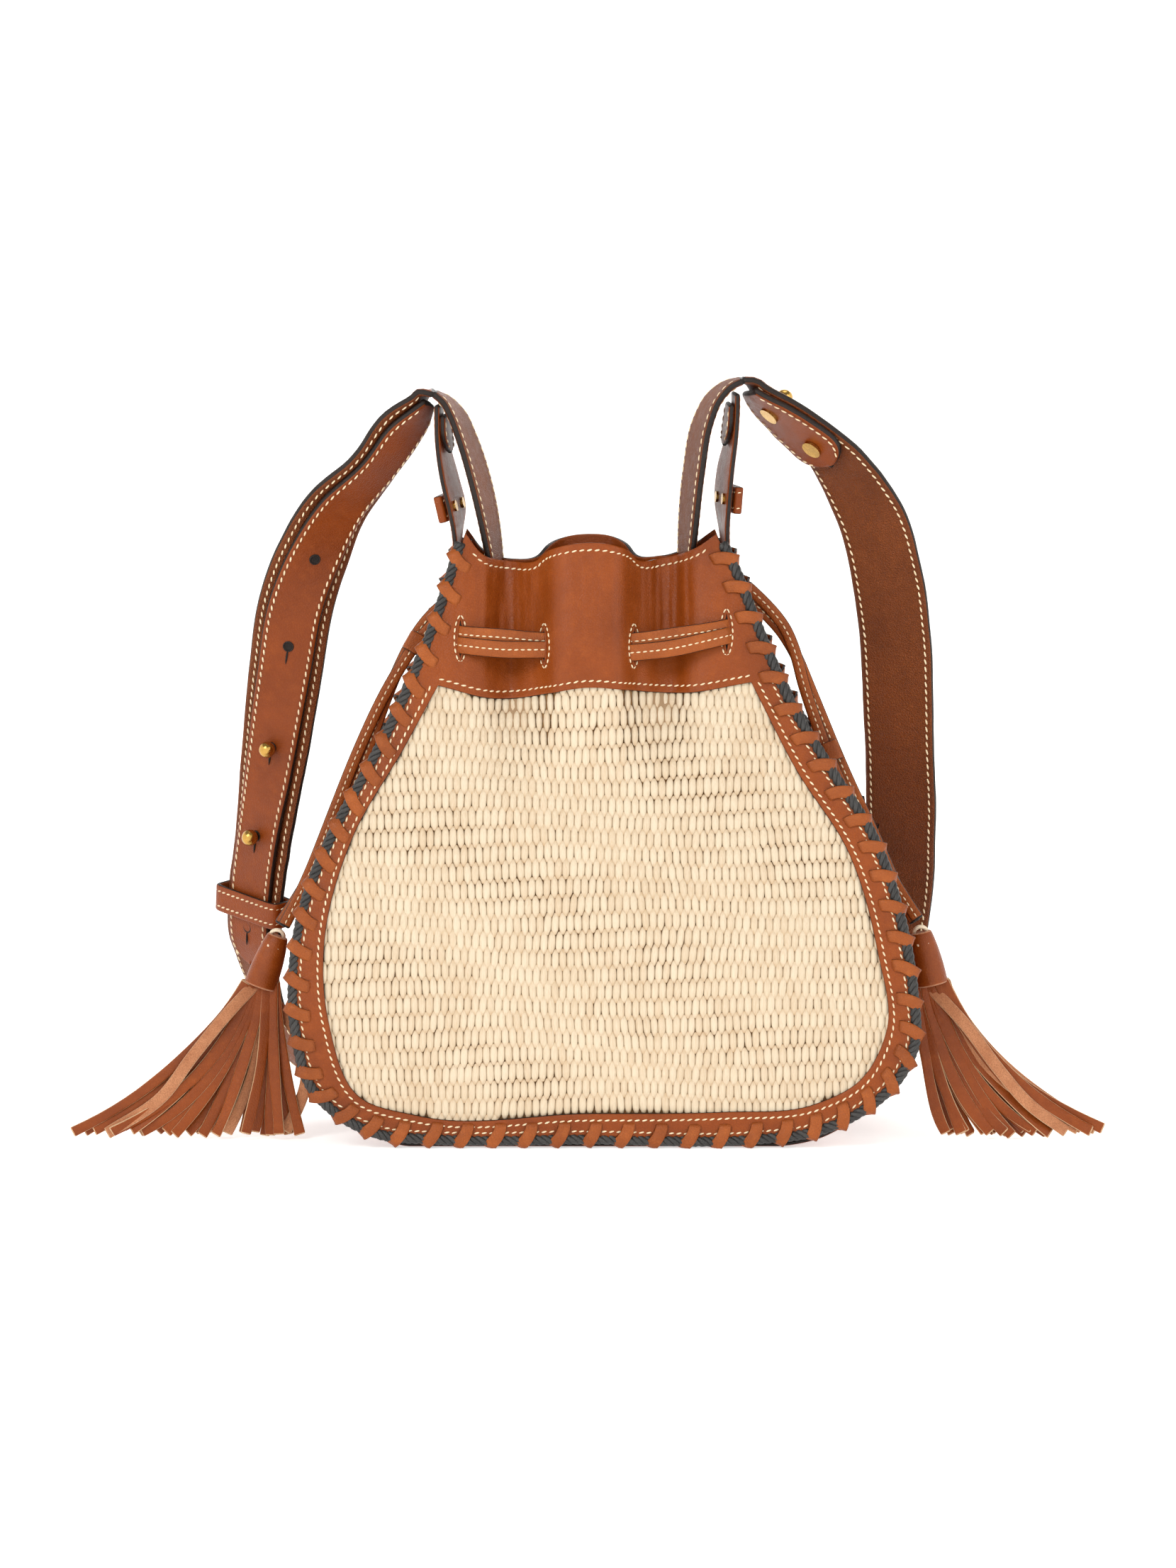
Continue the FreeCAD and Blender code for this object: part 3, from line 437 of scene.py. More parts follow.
def tube(bm, points, radius, sides=8, mat=0):
    """A round tube along points, closed at both ends. radius is one number or one for each point."""
    p = np.array(points, dtype=float)
    radii = np.full(len(p), radius) if np.isscalar(radius) else np.array(radius)
    along = unit(np.gradient(p, axis=0))
    side = np.cross(along[0], (0.0, 0.0, 1.0) if abs(along[0][2]) < 0.9 else (1.0, 0.0, 0.0))
    rows = []
    for i in range(len(p)):
        side = side - along[i] * np.dot(side, along[i])
        side = side / max(np.linalg.norm(side), 1e-9)
        other = np.cross(along[i], side)
        ring = []
        for k in range(sides + 1):
            turn = 2 * math.pi * (k % sides) / sides
            ring.append(p[i] + (side * math.cos(turn) + other * math.sin(turn)) * radii[i])
        rows.append(ring)
    grid = np.array(rows)
    first = np.repeat((p[:1] - along[:1] * radii[0] * 0.5)[:, None], sides + 1, axis=1)
    final = np.repeat((p[-1:] + along[-1:] * radii[-1] * 0.5)[:, None], sides + 1, axis=1)
    return add_sheet(bm, np.concatenate([first, grid, final], axis=0), lambda row, column: mat)


def bead_shape(around, rings):
    """A unit bead with its poles on X: its vertices and faces."""
    bm = bmesh.new()
    turn = Matrix.Rotation(math.pi / 2, 4, "Y")
    bmesh.ops.create_uvsphere(bm, u_segments=around, v_segments=rings, radius=1.0, matrix=turn)
    bm.verts.index_update()
    verts = np.array([tuple(vert.co) for vert in bm.verts])
    faces = [[vert.index for vert in face.verts] for face in bm.faces]
    bm.free()
    return verts, faces


STITCH_BEAD, STRAW_BEAD = bead_shape(6, 4), bead_shape(8, 6)


def bead(at, along, out, sizes):
    """The place, axes and half sizes of one stitch or one float of a weave."""
    x = unit(np.asarray(along))
    z = unit(np.asarray(out) - x * np.dot(out, x))
    y = np.cross(z, x)
    return np.asarray(at), np.stack([x * sizes[0], y * sizes[1], z * sizes[2]])


def place_piece(name, mesh, materials, body, nodes=()):
    """Makes a mesh an object that rides on a body and stands for its CAD nodes."""
    for item in materials:
        mesh.materials.append(item)
    piece = bpy.data.objects.new(name, mesh)
    bpy.context.scene.collection.objects.link(piece)
    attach(piece, body)
    if nodes:
        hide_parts(*nodes)
    return piece


def metre_mesh(bm, name):
    """Turns a mesh in millimetres into mesh data in metres."""
    bmesh.ops.scale(bm, vec=(MM, MM, MM), verts=bm.verts)
    mesh = bpy.data.meshes.new(name)
    bm.to_mesh(mesh)
    bm.free()
    return mesh


def bead_piece(name, beads, shape, tones, end_shade, item, body, nodes=(), slot=None):
    """All the beads of a row or a weave as one piece. Each has its own tone, which darkens towards its ends
    as painted shade where the bead dips under.
    """
    unit_verts, unit_faces = shape
    count = len(unit_verts)
    places = np.array([at for at, axes in beads])
    axes = np.array([axes for at, axes in beads])
    verts = places[:, None] + np.einsum("vk,bkc->bvc", unit_verts, axes)
    faces = [[index + i * count for index in face] for i in range(len(beads)) for face in unit_faces]
    mesh = bpy.data.meshes.new(name)
    mesh.from_pydata((verts.reshape(-1, 3) * MM).tolist(), [], faces)
    # Painted shade: each bead's tone falls towards its two ends.
    values = np.asarray(tones)[:, None] - end_shade * np.abs(unit_verts[:, 0])[None] ** 3
    mesh.attributes.new("tone", "FLOAT", "POINT").data.foreach_set("value", values.ravel())
    mesh.polygons.foreach_set("use_smooth", [True] * len(mesh.polygons))
    return place_piece(name, mesh, [item], body, nodes)


def stitches(beads, line, ups, pitch=3.3, long=1.25, wide=0.42, high=0.42, sink=0.05, slant=14.0):
    """A row of stitches along a dense line that lies on a surface, whose outward directions are ups."""
    count = max(int(line_length(line) / pitch), 1)
    spots = even(np.concatenate([line, ups], axis=1), count + 1)
    for i in range(count):
        here, there = spots[i, :3], spots[i + 1, :3]
        out, along = unit(spots[i, 3:]), unit(there - here)
        turn = math.radians(slant + rng.uniform(-4.0, 4.0))
        direction = along * math.cos(turn) + np.cross(out, along) * math.sin(turn)
        beads.append(bead((here + there) / 2 - out * sink, direction, out, (long, wide, high)))


def stitch_piece(name, beads, body, slot):
    tones = [rng.uniform(0.6, 0.9) for _ in beads]
    return bead_piece(name, beads, STITCH_BEAD, tones, 0.3, THREAD, body, slot=slot)


def piece_from(bm, name, materials, body, nodes=(), slot=None, merge=0.004):
    """Turns a mesh in millimetres into a finished piece that rides on a body."""
    bmesh.ops.remove_doubles(bm, verts=bm.verts, dist=merge)
    bmesh.ops.recalc_face_normals(bm, faces=bm.faces)
    return place_piece(name, metre_mesh(bm, name), materials, body, nodes)


def new_mesh():
    bm = bmesh.new()
    bm.verts.layers.float.new("wear_and_shade")
    bm.verts.layers.float.new("tone")
    return bm


def paint(bm, verts, layer, value):
    """Sets an attribute on vertices, from one number or a function of the vertex's place."""
    data = bm.verts.layers.float[layer]
    for vert in verts:
        vert[data] = value(vert.co) if callable(value) else value


# ---- Floor ----

FLOOR_RADIUS, FLOOR_CURVE, WALL_TOP = 5.0, 1.5, 5.0
floor_mesh = bmesh.new()
profile = [(0.0, 0.0), (FLOOR_RADIUS, 0.0)]
for turn in map(math.radians, range(10, 91, 10)):
    profile.append((FLOOR_RADIUS + FLOOR_CURVE * math.sin(turn), FLOOR_CURVE * (1 - math.cos(turn))))
profile.append((FLOOR_RADIUS + FLOOR_CURVE, WALL_TOP))
ring = [floor_mesh.verts.new((x, 0.0, z)) for x, z in profile]
rails = [floor_mesh.edges.new(pair) for pair in zip(ring, ring[1:])]
full_turn = {"cent": (0, 0, 0), "axis": (0, 0, 1), "angle": 2 * math.pi, "steps": 64, "use_merge": True}
bmesh.ops.spin(floor_mesh, geom=ring + rails, **full_turn)
bmesh.ops.remove_doubles(floor_mesh, verts=floor_mesh.verts, dist=0.0001)
bmesh.ops.recalc_face_normals(floor_mesh, faces=floor_mesh.faces)
for face in floor_mesh.faces:
    face.smooth = True
floor_data = bpy.data.meshes.new("floor")
floor_mesh.to_mesh(floor_data)
floor_mesh.free()
floor_material = bpy.data.materials.new("floor_paint")
floor_material.use_nodes = True
floor_shader = floor_material.node_tree.nodes["Principled BSDF"]
floor_shader.inputs["Base Color"].default_value = (0.9, 0.89, 0.87, 1.0)
floor_shader.inputs["Roughness"].default_value = 0.9
floor_shader.inputs["Emission Color"].default_value = (1.0, 1.0, 1.0, 1.0)
floor_shader.inputs["Emission Strength"].default_value = 0.56
floor_data.materials.append(floor_material)
floor = bpy.data.objects.new("floor", floor_data)
bpy.context.scene.collection.objects.link(floor)


# ---- The bag's outlines, in X and Z ----

EDGE_LINE = [
    (-58.6, 271.6), (-66.4, 246.0), (-81.7, 206.0), (-99.0, 171.0), (-115.5, 141.0), (-127.5, 112.0),
    (-133.4, 80.0), (-132.4, 50.0), (-125.0, 25.0), (-110.0, 10.5), (-92.0, 2.6), (-70.0, 0.7),
    (0.0, 0.7), (76.0, 0.7), (100.0, 3.8), (121.0, 12.5), (138.5, 27.0), (147.5, 45.0), (147.0, 70.0),
    (140.5, 106.0), (129.0, 139.0), (110.0, 169.0), (93.0, 197.0), (81.0, 224.0), (70.0, 252.0),
    (60.8, 271.8),
]
COLLAR_LINE = [
    (-46.0, 260.5), (-34.0, 257.4), (-23.0, 258.2), (-18.5, 262.6), (-9.0, 266.0), (1.0, 267.0),
    (10.0, 266.2), (18.0, 263.0), (22.0, 258.6), (33.0, 258.8), (47.0, 263.4),
]
WINDOW_SIDES = [
    (-66.4, 203.6), (-80.5, 178.0), (-105.0, 135.0), (-116.4, 92.0), (-114.5, 56.0), (-101.0, 22.8),
    (-75.5, 14.5), (0.0, 15.6), (60.0, 16.2), (100.0, 19.5), (120.0, 30.0), (132.0, 53.0),
    (128.0, 87.0), (115.0, 131.0), (92.0, 167.0), (72.3, 205.0),
]
WINDOW_TOP = [(-66.4, 203.6), (-40.0, 197.5), (0.0, 203.5), (40.0, 200.0), (72.3, 205.0)]
SLITS = [(-56.5, 224.0), (-19.3, 221.2), (20.3, 220.9), (61.4, 226.8)]
DENSITY = 20

edge = curve(EDGE_LINE, DENSITY)
edge_along = unit(np.gradient(edge, axis=0))
edge_inward = np.stack([-edge_along[:, 1], edge_along[:, 0]], axis=1)


def edge_inset(inset):
    return edge + edge_inward * inset


def on_panel(flat, side, lift=0.0):
    """Puts points given in X and Z on the front (-1) or back (1) panel, lifted off its face."""
    flat = np.asarray(flat, dtype=float)
    depth = np.array([panel_depth(x, z) + crease(x, z, side) for x, z in flat.reshape(-1, 2)])
    depth = depth.reshape(flat.shape[:-1]) + lift
    return np.stack([flat[..., 0], side * depth, flat[..., 1]], axis=-1)


def crease(x, z, side):
    """The leather's own creases: upright folds in the valleys of the collar, and a slow unevenness."""
    fold = math.exp(-(((abs(x) - 35.0) / 11.0) ** 2)) + 0.12
    upright = noise.noise(Vector((x * 0.34, z * 0.022, 3.0 * side)))
    slow = noise.noise(Vector((x * 0.03, z * 0.03, 9.0 * side)))
    fine = noise.noise(Vector((x * 0.8, z * 0.05, 5.0 * side)))
    return smooth_step(185.0, 232.0, z) * fold * (1.5 * upright + 0.6 * fine) + 0.9 * slow


FRAME_INSET, FRAME_THICK = 4.4, 1.8
outer_line = edge_inset(FRAME_INSET)
left_turn = int(np.argmax(outer_line[:, 1] < 206.0))
right_turn = len(outer_line) - int(np.argmax(outer_line[::-1, 1] < 208.0))
window_line = curve(WINDOW_SIDES, DENSITY)
window_top = curve(WINDOW_TOP, 30)
window_outline = np.concatenate([window_line, window_top[::-1][1:-1]])
BORDER_ROWS, BORDER_COLUMNS = 260, 9

border_outer = even(outer_line[left_turn:right_turn], BORDER_ROWS)
border_inner = even(window_line, BORDER_ROWS)
shares = np.linspace(0.0, 1.0, BORDER_COLUMNS)[None, :, None]
border = border_outer[:, None] * (1 - shares) + border_inner[:, None] * shares


def collar_grid():
    """The collar from the window's top edge to the mouth. Its lowest row takes in the border's ends."""
    middle = even(window_top, 130)[1:-1]
    bottom = np.concatenate([border[0], middle, border[-1][::-1]])
    steps = distances(bottom)
    across = steps / steps[-1]
    rows = 70
    left = even(outer_line[: left_turn + 1][::-1], rows)
    right = even(outer_line[right_turn - 1 :], rows)
    top_points = [tuple(left[-1])] + COLLAR_LINE + [tuple(right[-1])]
    top_line = curve(top_points, 20)
    top_steps = distances(top_line)
    top = np.stack([np.interp(across * top_steps[-1], top_steps, top_line[:, k]) for k in (0, 1)], axis=1)
    s = across[None, :, None]
    t = np.linspace(0.0, 1.0, rows)[:, None, None]
    ruled = bottom[None] * (1 - t) + top[None] * t
    sides = left[:, None] * (1 - s) + right[:, None] * s
    corners = (bottom[0] * (1 - s) + bottom[-1] * s) * (1 - t) + (top[0] * (1 - s) + top[-1] * s) * t
    return ruled + sides - corners


collar = collar_grid()


def open_sheet_piece(bm, name, materials, body, nodes, facing, thick):
    """A sheet that gets its thickness behind its face from a modifier, with a painted rim."""
    bmesh.ops.remove_doubles(bm, verts=bm.verts, dist=0.02)
    bmesh.ops.recalc_face_normals(bm, faces=bm.faces)
    total = Vector((0.0, 0.0, 0.0))
    for face in bm.faces:
        total += face.normal * face.calc_area()
    if total.dot(Vector(facing)) < 0:
        bmesh.ops.reverse_faces(bm, faces=bm.faces)
    piece = place_piece(name, metre_mesh(bm, name), materials, body, nodes)
    shell = piece.modifiers.new("thickness", "SOLIDIFY")
    shell.thickness = thick * MM
    shell.offset = -1.0
    shell.use_even_offset = True
    shell.material_offset_rim = 1


def side_name(side):
    return "front" if side < 0 else "back"


def make_frame(side):
    bm = new_mesh()
    low = add_sheet(bm, on_panel(border, side))
    high = add_sheet(bm, on_panel(collar, side))

    # Painted shade: the collar is darker in its valleys and creases, where the leather lies back; the frame
    # also grows darker towards the bottom.
    def darkening(at):
        shade = clamp((-crease(at.x, at.z, side) - 0.25) * 0.5) * smooth_step(190.0, 230.0, at.z)
        return clamp(0.55 * shade + 0.25 * smooth_step(40.0, 0.0, at.z))

    paint(bm, low + high, "wear_and_shade", darkening)
    name = side_name(side)
    skins, node, facing = [TAN, RIM], [name + "_frame"], (0, side, 0)
    open_sheet_piece(bm, name + "_leather_frame", skins, "bag", node, facing, FRAME_THICK)


def make_frame_stitching(side):
    """The rows of stitches beside the window and below the mouth's edge."""
    beads = []
    away = unit(border_outer - border_inner)
    beside = border_inner + away * 3.0
    top_row = even(window_top, 200)
    above = top_row + np.stack([np.zeros(len(top_row)), np.full(len(top_row), 3.0)], axis=1)
    rows = [beside, above, collar_stitch_line(), border_outer - away * 2.6]
    for row in rows:
        line = on_panel(row, side, 0.05)
        here = on_panel(row + (0.6, 0.0), side) - on_panel(row - (0.6, 0.0), side)
        upward = on_panel(row + (0.0, 0.6), side) - on_panel(row - (0.0, 0.6), side)
        out = unit(np.cross(here, upward))
        out = out * np.sign(out[:, 1:2] * side)
        stitches(beads, line, out)
    stitch_piece(side_name(side) + "_frame_stitching", beads, "bag", "tan_leather")


def collar_stitch_line():
    """A line that keeps its distance below the mouth's edge."""
    top = collar[-1]
    rows = []
    for k in range(6, top.shape[0] - 6):
        down = unit(collar[-8, k] - top[k])
        rows.append(top[k] + down * 3.2)
    return np.array(rows)


def outline_distance(points, outline):
    """How far points lie outside a closed outline: negative inside it."""
    ends = np.roll(outline, -1, axis=0)
    inside = np.zeros(len(points), dtype=bool)
    nearest = np.full(len(points), 1e9)
    for a, b in zip(outline, ends):
        crosses = (a[1] > points[:, 1]) != (b[1] > points[:, 1])
        if abs(b[1] - a[1]) > 1e-9:
            reach = a[0] + (points[:, 1] - a[1]) * (b[0] - a[0]) / (b[1] - a[1])
            inside ^= crosses & (points[:, 0] < reach)
        run = b - a
        share = np.clip(((points - a) @ run) / max(run @ run, 1e-9), 0.0, 1.0)
        nearest = np.minimum(nearest, np.linalg.norm(points - (a + share[:, None] * run), axis=1))
    return np.where(inside, -nearest, nearest)


coarse_window = window_outline[::5]
GROUND_BEHIND, FLOAT_LIFT = 3.0, 0.75
FLOAT_PITCH, ROW_PITCH = 3.35, 7.4


def make_raffia(side):
    """Plaited straw: a ground painted dark as the shade between the floats, and rows of upright floats, each
    row half a pitch on from the last.
    """
    bm = new_mesh()
    xs, zs = np.arange(-130.0, 146.0, 4.0), np.arange(4.0, 216.0, 4.0)
    flat = np.stack(np.meshgrid(xs, zs), axis=-1)
    ground = add_sheet(bm, on_panel(flat, side, -GROUND_BEHIND), lambda row, column: 1)
    far = outline_distance(flat.reshape(-1, 2), coarse_window)
    outside = [vert for vert, distance in zip(ground, far) if distance > 7.0]
    bmesh.ops.delete(bm, geom=outside, context="VERTS")
    # Painted shade: the ground takes a low tone, close to its dark colour.
    paint(bm, bm.verts, "tone", 0.25)
    spots = []
    for row in range(30):
        for column in range(84):
            x = -130.0 + FLOAT_PITCH * (column + 0.5 * (row % 2))
            z = 4.0 + ROW_PITCH * row
            z += 1.3 * math.sin(x * 0.045 + 0.5 * row) + 0.8 * noise.noise(Vector((x * 0.02, z * 0.05, side)))
            x += 0.9 * noise.noise(Vector((x * 0.02, z * 0.03, 4.0 + side)))
            spots.append((x, z))
    spots = np.array(spots)
    kept = spots[outline_distance(spots, coarse_window) < 2.5]
    beads, tones = [], []
    for x, z in kept:
        lean = 0.1 * noise.noise(Vector((x * 0.03, z * 0.03, 7.0))) + rng.uniform(-0.06, 0.06)
        near = ((x, z), (x, z + 1.0), (x + 1.0, z))
        at, above, beside = (on_panel(np.array(p), side, FLOAT_LIFT - GROUND_BEHIND) for p in near)
        upward, across = unit(above - at), unit(beside - at)
        out = unit(np.cross(across, upward))
        out = out * math.copysign(1.0, out[1] * side)
        upward = unit(upward + across * lean)
        sizes = (rng.uniform(5.0, 5.5), rng.uniform(1.75, 1.95), rng.uniform(1.1, 1.4))
        beads.append(bead(at, upward, out, sizes))
        tones.append(rng.choice((1.0, 0.97, 0.94, 0.9, 0.86, 0.8)))
    name = side_name(side)
    place = ("bag", [name + "_raffia"], "raffia")
    bead_piece(name + "_raffia_weave", beads, STRAW_BEAD, tones, 0.5, STRAW, *place)
    piece_from(bm, name + "_raffia_ground", [STRAW, STRAW_GAP_SHADE], *place)


# ---- Edge cord and whip lacing ----

CORD_INSET, CORD_TWIST = 3.5, 13.0
STRAND_OFF_CENTRE, STRAND_RADIUS = 1.4, 1.2
WRAPS = 56
LACE_MARGIN = 12.0
LACE_WIDTH, LACE_THICK = 6.0, 1.3

# How far a wrap reaches into the panel, how far it shifts along the edge on the way, and the row of its
# profile at which it has turned round the edge cord.
LACE_REACH, LACE_SHIFT, LACE_TURNED = 11.0, 6.0, 14
LACE_PATH = [
    (11.6, -1.4), (11.2, 0.9), (10.2, 1.9), (7.5, 2.3), (5.0, 2.9), (3.2, 3.1), (1.4, 2.3), (0.6, 0.6),
    (0.7, -1.6), (2.2, -3.6), (3.9, -5.4), (4.5, -7.6), (4.9, -9.2), (6.2, -10.3),
]


def edge_place(distance):
    """A place on the edge line: the point, the direction along it and the direction into the bag."""
    steps = distances(edge)
    point = np.array([np.interp(distance, steps, edge[:, k]) for k in (0, 1)])
    along = unit(np.array([np.interp(distance, steps, edge_along[:, k]) for k in (0, 1)]))
    return point, along, np.array([-along[1], along[0]])


def make_edge_cord(side):
    """Four waxed strands twisted together along the edge."""
    bm = new_mesh()
    total = line_length(edge)
    places = [edge_place(d) for d in np.linspace(5.0, total - 5.0, 640)]
    strands = [[], [], [], []]
    for i, (point, along, inward) in enumerate(places):
        walked = (total - 10.0) * i / (len(places) - 1)
        centre = point + inward * CORD_INSET
        depth = half_depth(point[1]) - 0.6
        for k, strand in enumerate(strands):
            turn = 2 * math.pi * (walked / CORD_TWIST + k / len(strands))
            across = centre + inward * STRAND_OFF_CENTRE * math.cos(turn)
            depth_here = depth + STRAND_OFF_CENTRE * math.sin(turn)
            strand.append((across[0], side * depth_here, max(across[1], 1.3)))
    for k, strand in enumerate(strands):
        verts = tube(bm, strand, STRAND_RADIUS, 7)
        paint(bm, verts, "tone", 0.3 + 0.15 * k)
    name = side_name(side)
    piece_from(bm, name + "_twisted_edge_cord", [WAXED], "bag", [name + "_edge_cord"], "waxed_cord")


def make_lacing(side):
    """The leather lace that whips the panel's edge to the gusset, one slanted turn after another."""
    bm = new_mesh()
    total = line_length(edge)
    pitch = (total - 2 * LACE_MARGIN) / (WRAPS - 1)
    profile = even(curve(LACE_PATH, 8), 26)
    darkening_layer = bm.verts.layers.float["wear_and_shade"]
    for i in range(WRAPS):
        point, along, inward = edge_place(LACE_MARGIN + pitch * i + rng.uniform(-0.3, 0.3))
        depth = half_depth(point[1]) - 0.9
        reached = LACE_SHIFT * rng.uniform(0.85, 1.12)
        start = on_panel(point + inward * 11.0, side)[1] * side - depth - 0.9
        rows = []
        for k, (reach, out) in enumerate(profile):
            left = 1.0 - clamp(reach / LACE_REACH)
            shift = reached * (0.45 - left ** 2)
            slant = math.atan(2.0 * reached / LACE_REACH * left)
            if k < LACE_TURNED:
                out = out + start * clamp((reach - 2.0) / 9.0)
            else:
                shift = -0.55 * reached - 0.3 * (k - LACE_TURNED)
                slant = 0.5
            width = LACE_WIDTH * (0.9 + 0.1 * math.sin(math.pi * clamp(k / 22.0)))
            middle = point + inward * reach + along * shift
            across = along * math.cos(slant) - inward * math.sin(slant)
            row = []
            for part in (-0.5, -0.3, -0.1, 0.1, 0.3, 0.5):
                at = middle + across * (width - LACE_THICK) * part
                crown = 0.35 * (1 - (2 * part) ** 2)
                row.append((at[0], side * (depth + out + crown), max(at[1], 0.12)))
            rows.append(row)
        verts = slab(bm, np.array(rows), LACE_THICK, (0, 1, 0), flip=side > 0)
        base = rng.uniform(0.0, 0.35)
        for vert in verts:
            reach = (vert.co.x - point[0]) * inward[0] + (vert.co.z - point[1]) * inward[1]
            # Painted shade where the lace dips into its hole; the lace is also darker where it turns round
            # the edge.
            ends = 0.7 * smooth_step(9.0, 12.0, reach) + 0.5 * smooth_step(1.2, -0.5, reach)
            vert[darkening_layer] = clamp(base + ends)
    name = side_name(side)
    piece_from(bm, name + "_whip_lacing", [LACE, RIM], "bag", [name + "_lacing"], "lace_leather")


# ---- Gussets and base ----

LEFT_TAB = [
    (-67.2, -65.6, 321.0), (-67.0, -63.5, 311.0), (-64.7, -58.5, 293.0), (-61.6, -55.6, 280.0),
    (-59.6, -57.0, 270.0),
]
RIGHT_TAB = [
    (66.4, 65.2, 326.0), (65.8, 63.0, 314.0), (64.0, 58.6, 297.0), (62.8, 57.6, 283.0),
    (62.0, 59.5, 271.0),
]
TAB_HALF, BASE_HALF = 17.0, 48.4
GUSSET_THICK = 2.2


def edge_points(inset):
    moved = edge_inset(inset)
    return [tuple(moved[i * DENSITY]) for i in range(len(EDGE_LINE))]


def lerp_rows(pairs, columns, margin=0.0):
    """Rows across a band between its two edges, which are rows of six numbers."""
    a, b = pairs[:, :3], pairs[:, 3:]
    pull = unit(b - a) * margin
    a, b = a + pull, b - pull
    t = np.linspace(0.0, 1.0, columns)[None, :, None]
    return a[:, None] * (1 - t) + b[:, None] * t


def make_gusset(name, tab, side_points, outward):
    """A side gusset, which sags inwards between the panels and rises above the mouth as a strap tab."""
    near, far, z = tab[0]
    pairs = [(near, -TAB_HALF, z + 5.0, far, TAB_HALF, z + 5.0)]
    pairs += [(near, -TAB_HALF, z, far, TAB_HALF, z) for near, far, z in tab]
    for x, z in side_points:
        reach = half_depth(z) - 2.4
        pairs.append((x, -reach, z, x, reach, z))
    band = even(curve(pairs, 16), 130)
    grid = lerp_rows(band, 17, 1.1)
    across = np.linspace(-1.0, 1.0, 17)[None, :, None]
    up = normals_of(grid)
    up = up * np.sign(up[:, :, :1] * outward + 1e-9)
    sag = np.array([smooth_step(262.0, 190.0, row[8][2]) for row in grid])[:, None, None]
    uneven = np.array([[noise.noise(Vector(p) * 0.035) for p in row] for row in grid])[:, :, None]
    grid = grid + up * (1.1 + (uneven * 1.2 - 2.2 * (1 - across ** 2)) * sag)
    bm = new_mesh()
    flip = float((normals_of(grid)[:, :, 0] * outward).sum()) < 0
    slab(bm, grid, GUSSET_THICK, (0, 1, 2), flip=flip)
    # The gusset grows darker towards the bottom.
    paint(bm, bm.verts, "wear_and_shade", lambda at: 0.3 * smooth_step(60.0, 0.0, at.z))
    piece_from(bm, name + "_side_gusset", [TAN, RIM, STRAP], "bag", [name + "_gusset"], "tan_leather")
    beads = []
    for column in (1, -2):
        row = grid[:40, column]
        stitches(beads, row, normals_of(grid)[:40, column] * (-1 if flip else 1))
    stitch_piece(name + "_gusset_stitching", beads, "bag", "tan_leather")


def make_base():
    """The strip that the bag stands on, turned up at its two ends."""
    line = [(-102.2, 8.6), (-93.0, 3.6), (-82.0, 0.3), (-66.0, 0.0), (0.0, 0.0)]
    line += [(70.0, 0.0), (88.0, 0.3), (103.0, 3.6), (115.0, 9.6)]
    rows = []
    for x, z in even(curve(line, 16), 90):
        rows.append([(x, y, max(z, 0.0)) for y in np.linspace(-BASE_HALF, BASE_HALF, 21)])
    bm = new_mesh()
    grid = np.array(rows)
    slab(bm, grid, GUSSET_THICK, (0, 1, 2), flip=float(normals_of(grid)[:, :, 2].sum()) > 0)
    paint(bm, bm.verts, "wear_and_shade", lambda at: 0.4 + 0.4 * noise.noise(at * 0.05))
    piece_from(bm, "base_strip", [TAN, RIM, UNDER], "bag", ["base_gusset"], "tan_leather")


for side in (-1, 1):
    make_frame(side)
    make_frame_stitching(side)
    make_raffia(side)
    make_edge_cord(side)
    make_lacing(side)
side_points = edge_points(7.0)
make_gusset("left", LEFT_TAB, side_points[1:10], -1)
make_gusset("right", RIGHT_TAB, list(reversed(side_points[15:25])), 1)
make_base()

for label, skin in (("front_lining", CLOTH), ("back_lining", CLOTH), ("base_board", BOARD)):
    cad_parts[label].data.materials.clear()
    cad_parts[label].data.materials.append(skin)


# ---- Shoulder strap ----

LEFT_LEG = [
    ((-69.4, -17.0, 332.2), (-69.4, 17.0, 331.6)), ((-73.5, -16.6, 333.0), (-72.0, 16.7, 330.2)),
    ((-78.5, -15.3, 330.6), (-74.0, 15.4, 318.5)), ((-91.4, -13.0, 321.6), (-76.5, 14.5, 309.0)),
    ((-104.8, -11.0, 304.4), (-86.0, 15.5, 295.5)), ((-123.9, -4.0, 287.0), (-99.0, 17.0, 277.0)),
    ((-138.3, 8.0, 265.0), (-107.0, 19.5, 257.0)), ((-148.0, 20.0, 239.0), (-114.3, 20.0, 234.0)),
    ((-153.0, 31.0, 208.0), (-119.5, 26.0, 205.0)), ((-158.2, 50.0, 156.0), (-128.8, 33.0, 154.0)),
    ((-160.4, 59.0, 131.0), (-134.4, 37.0, 129.0)), ((-163.5, 66.4, 106.0), (-138.2, 43.6, 104.0)),
    ((-164.2, 71.8, 84.0), (-139.8, 48.2, 82.0)), ((-158.0, 85.2, 61.0), (-141.0, 55.8, 59.0)),
    ((-148.0, 95.0, 34.0), (-131.0, 66.0, 30.0)), ((-129.0, 103.0, 13.0), (-114.0, 73.0, 11.5)),
    ((-104.0, 111.0, 4.2), (-91.0, 80.0, 3.4)), ((-70.0, 119.0, 2.3), (-61.0, 86.5, 2.3)),
    ((-35.0, 124.0, 2.3), (-31.0, 90.0, 2.3)),
]
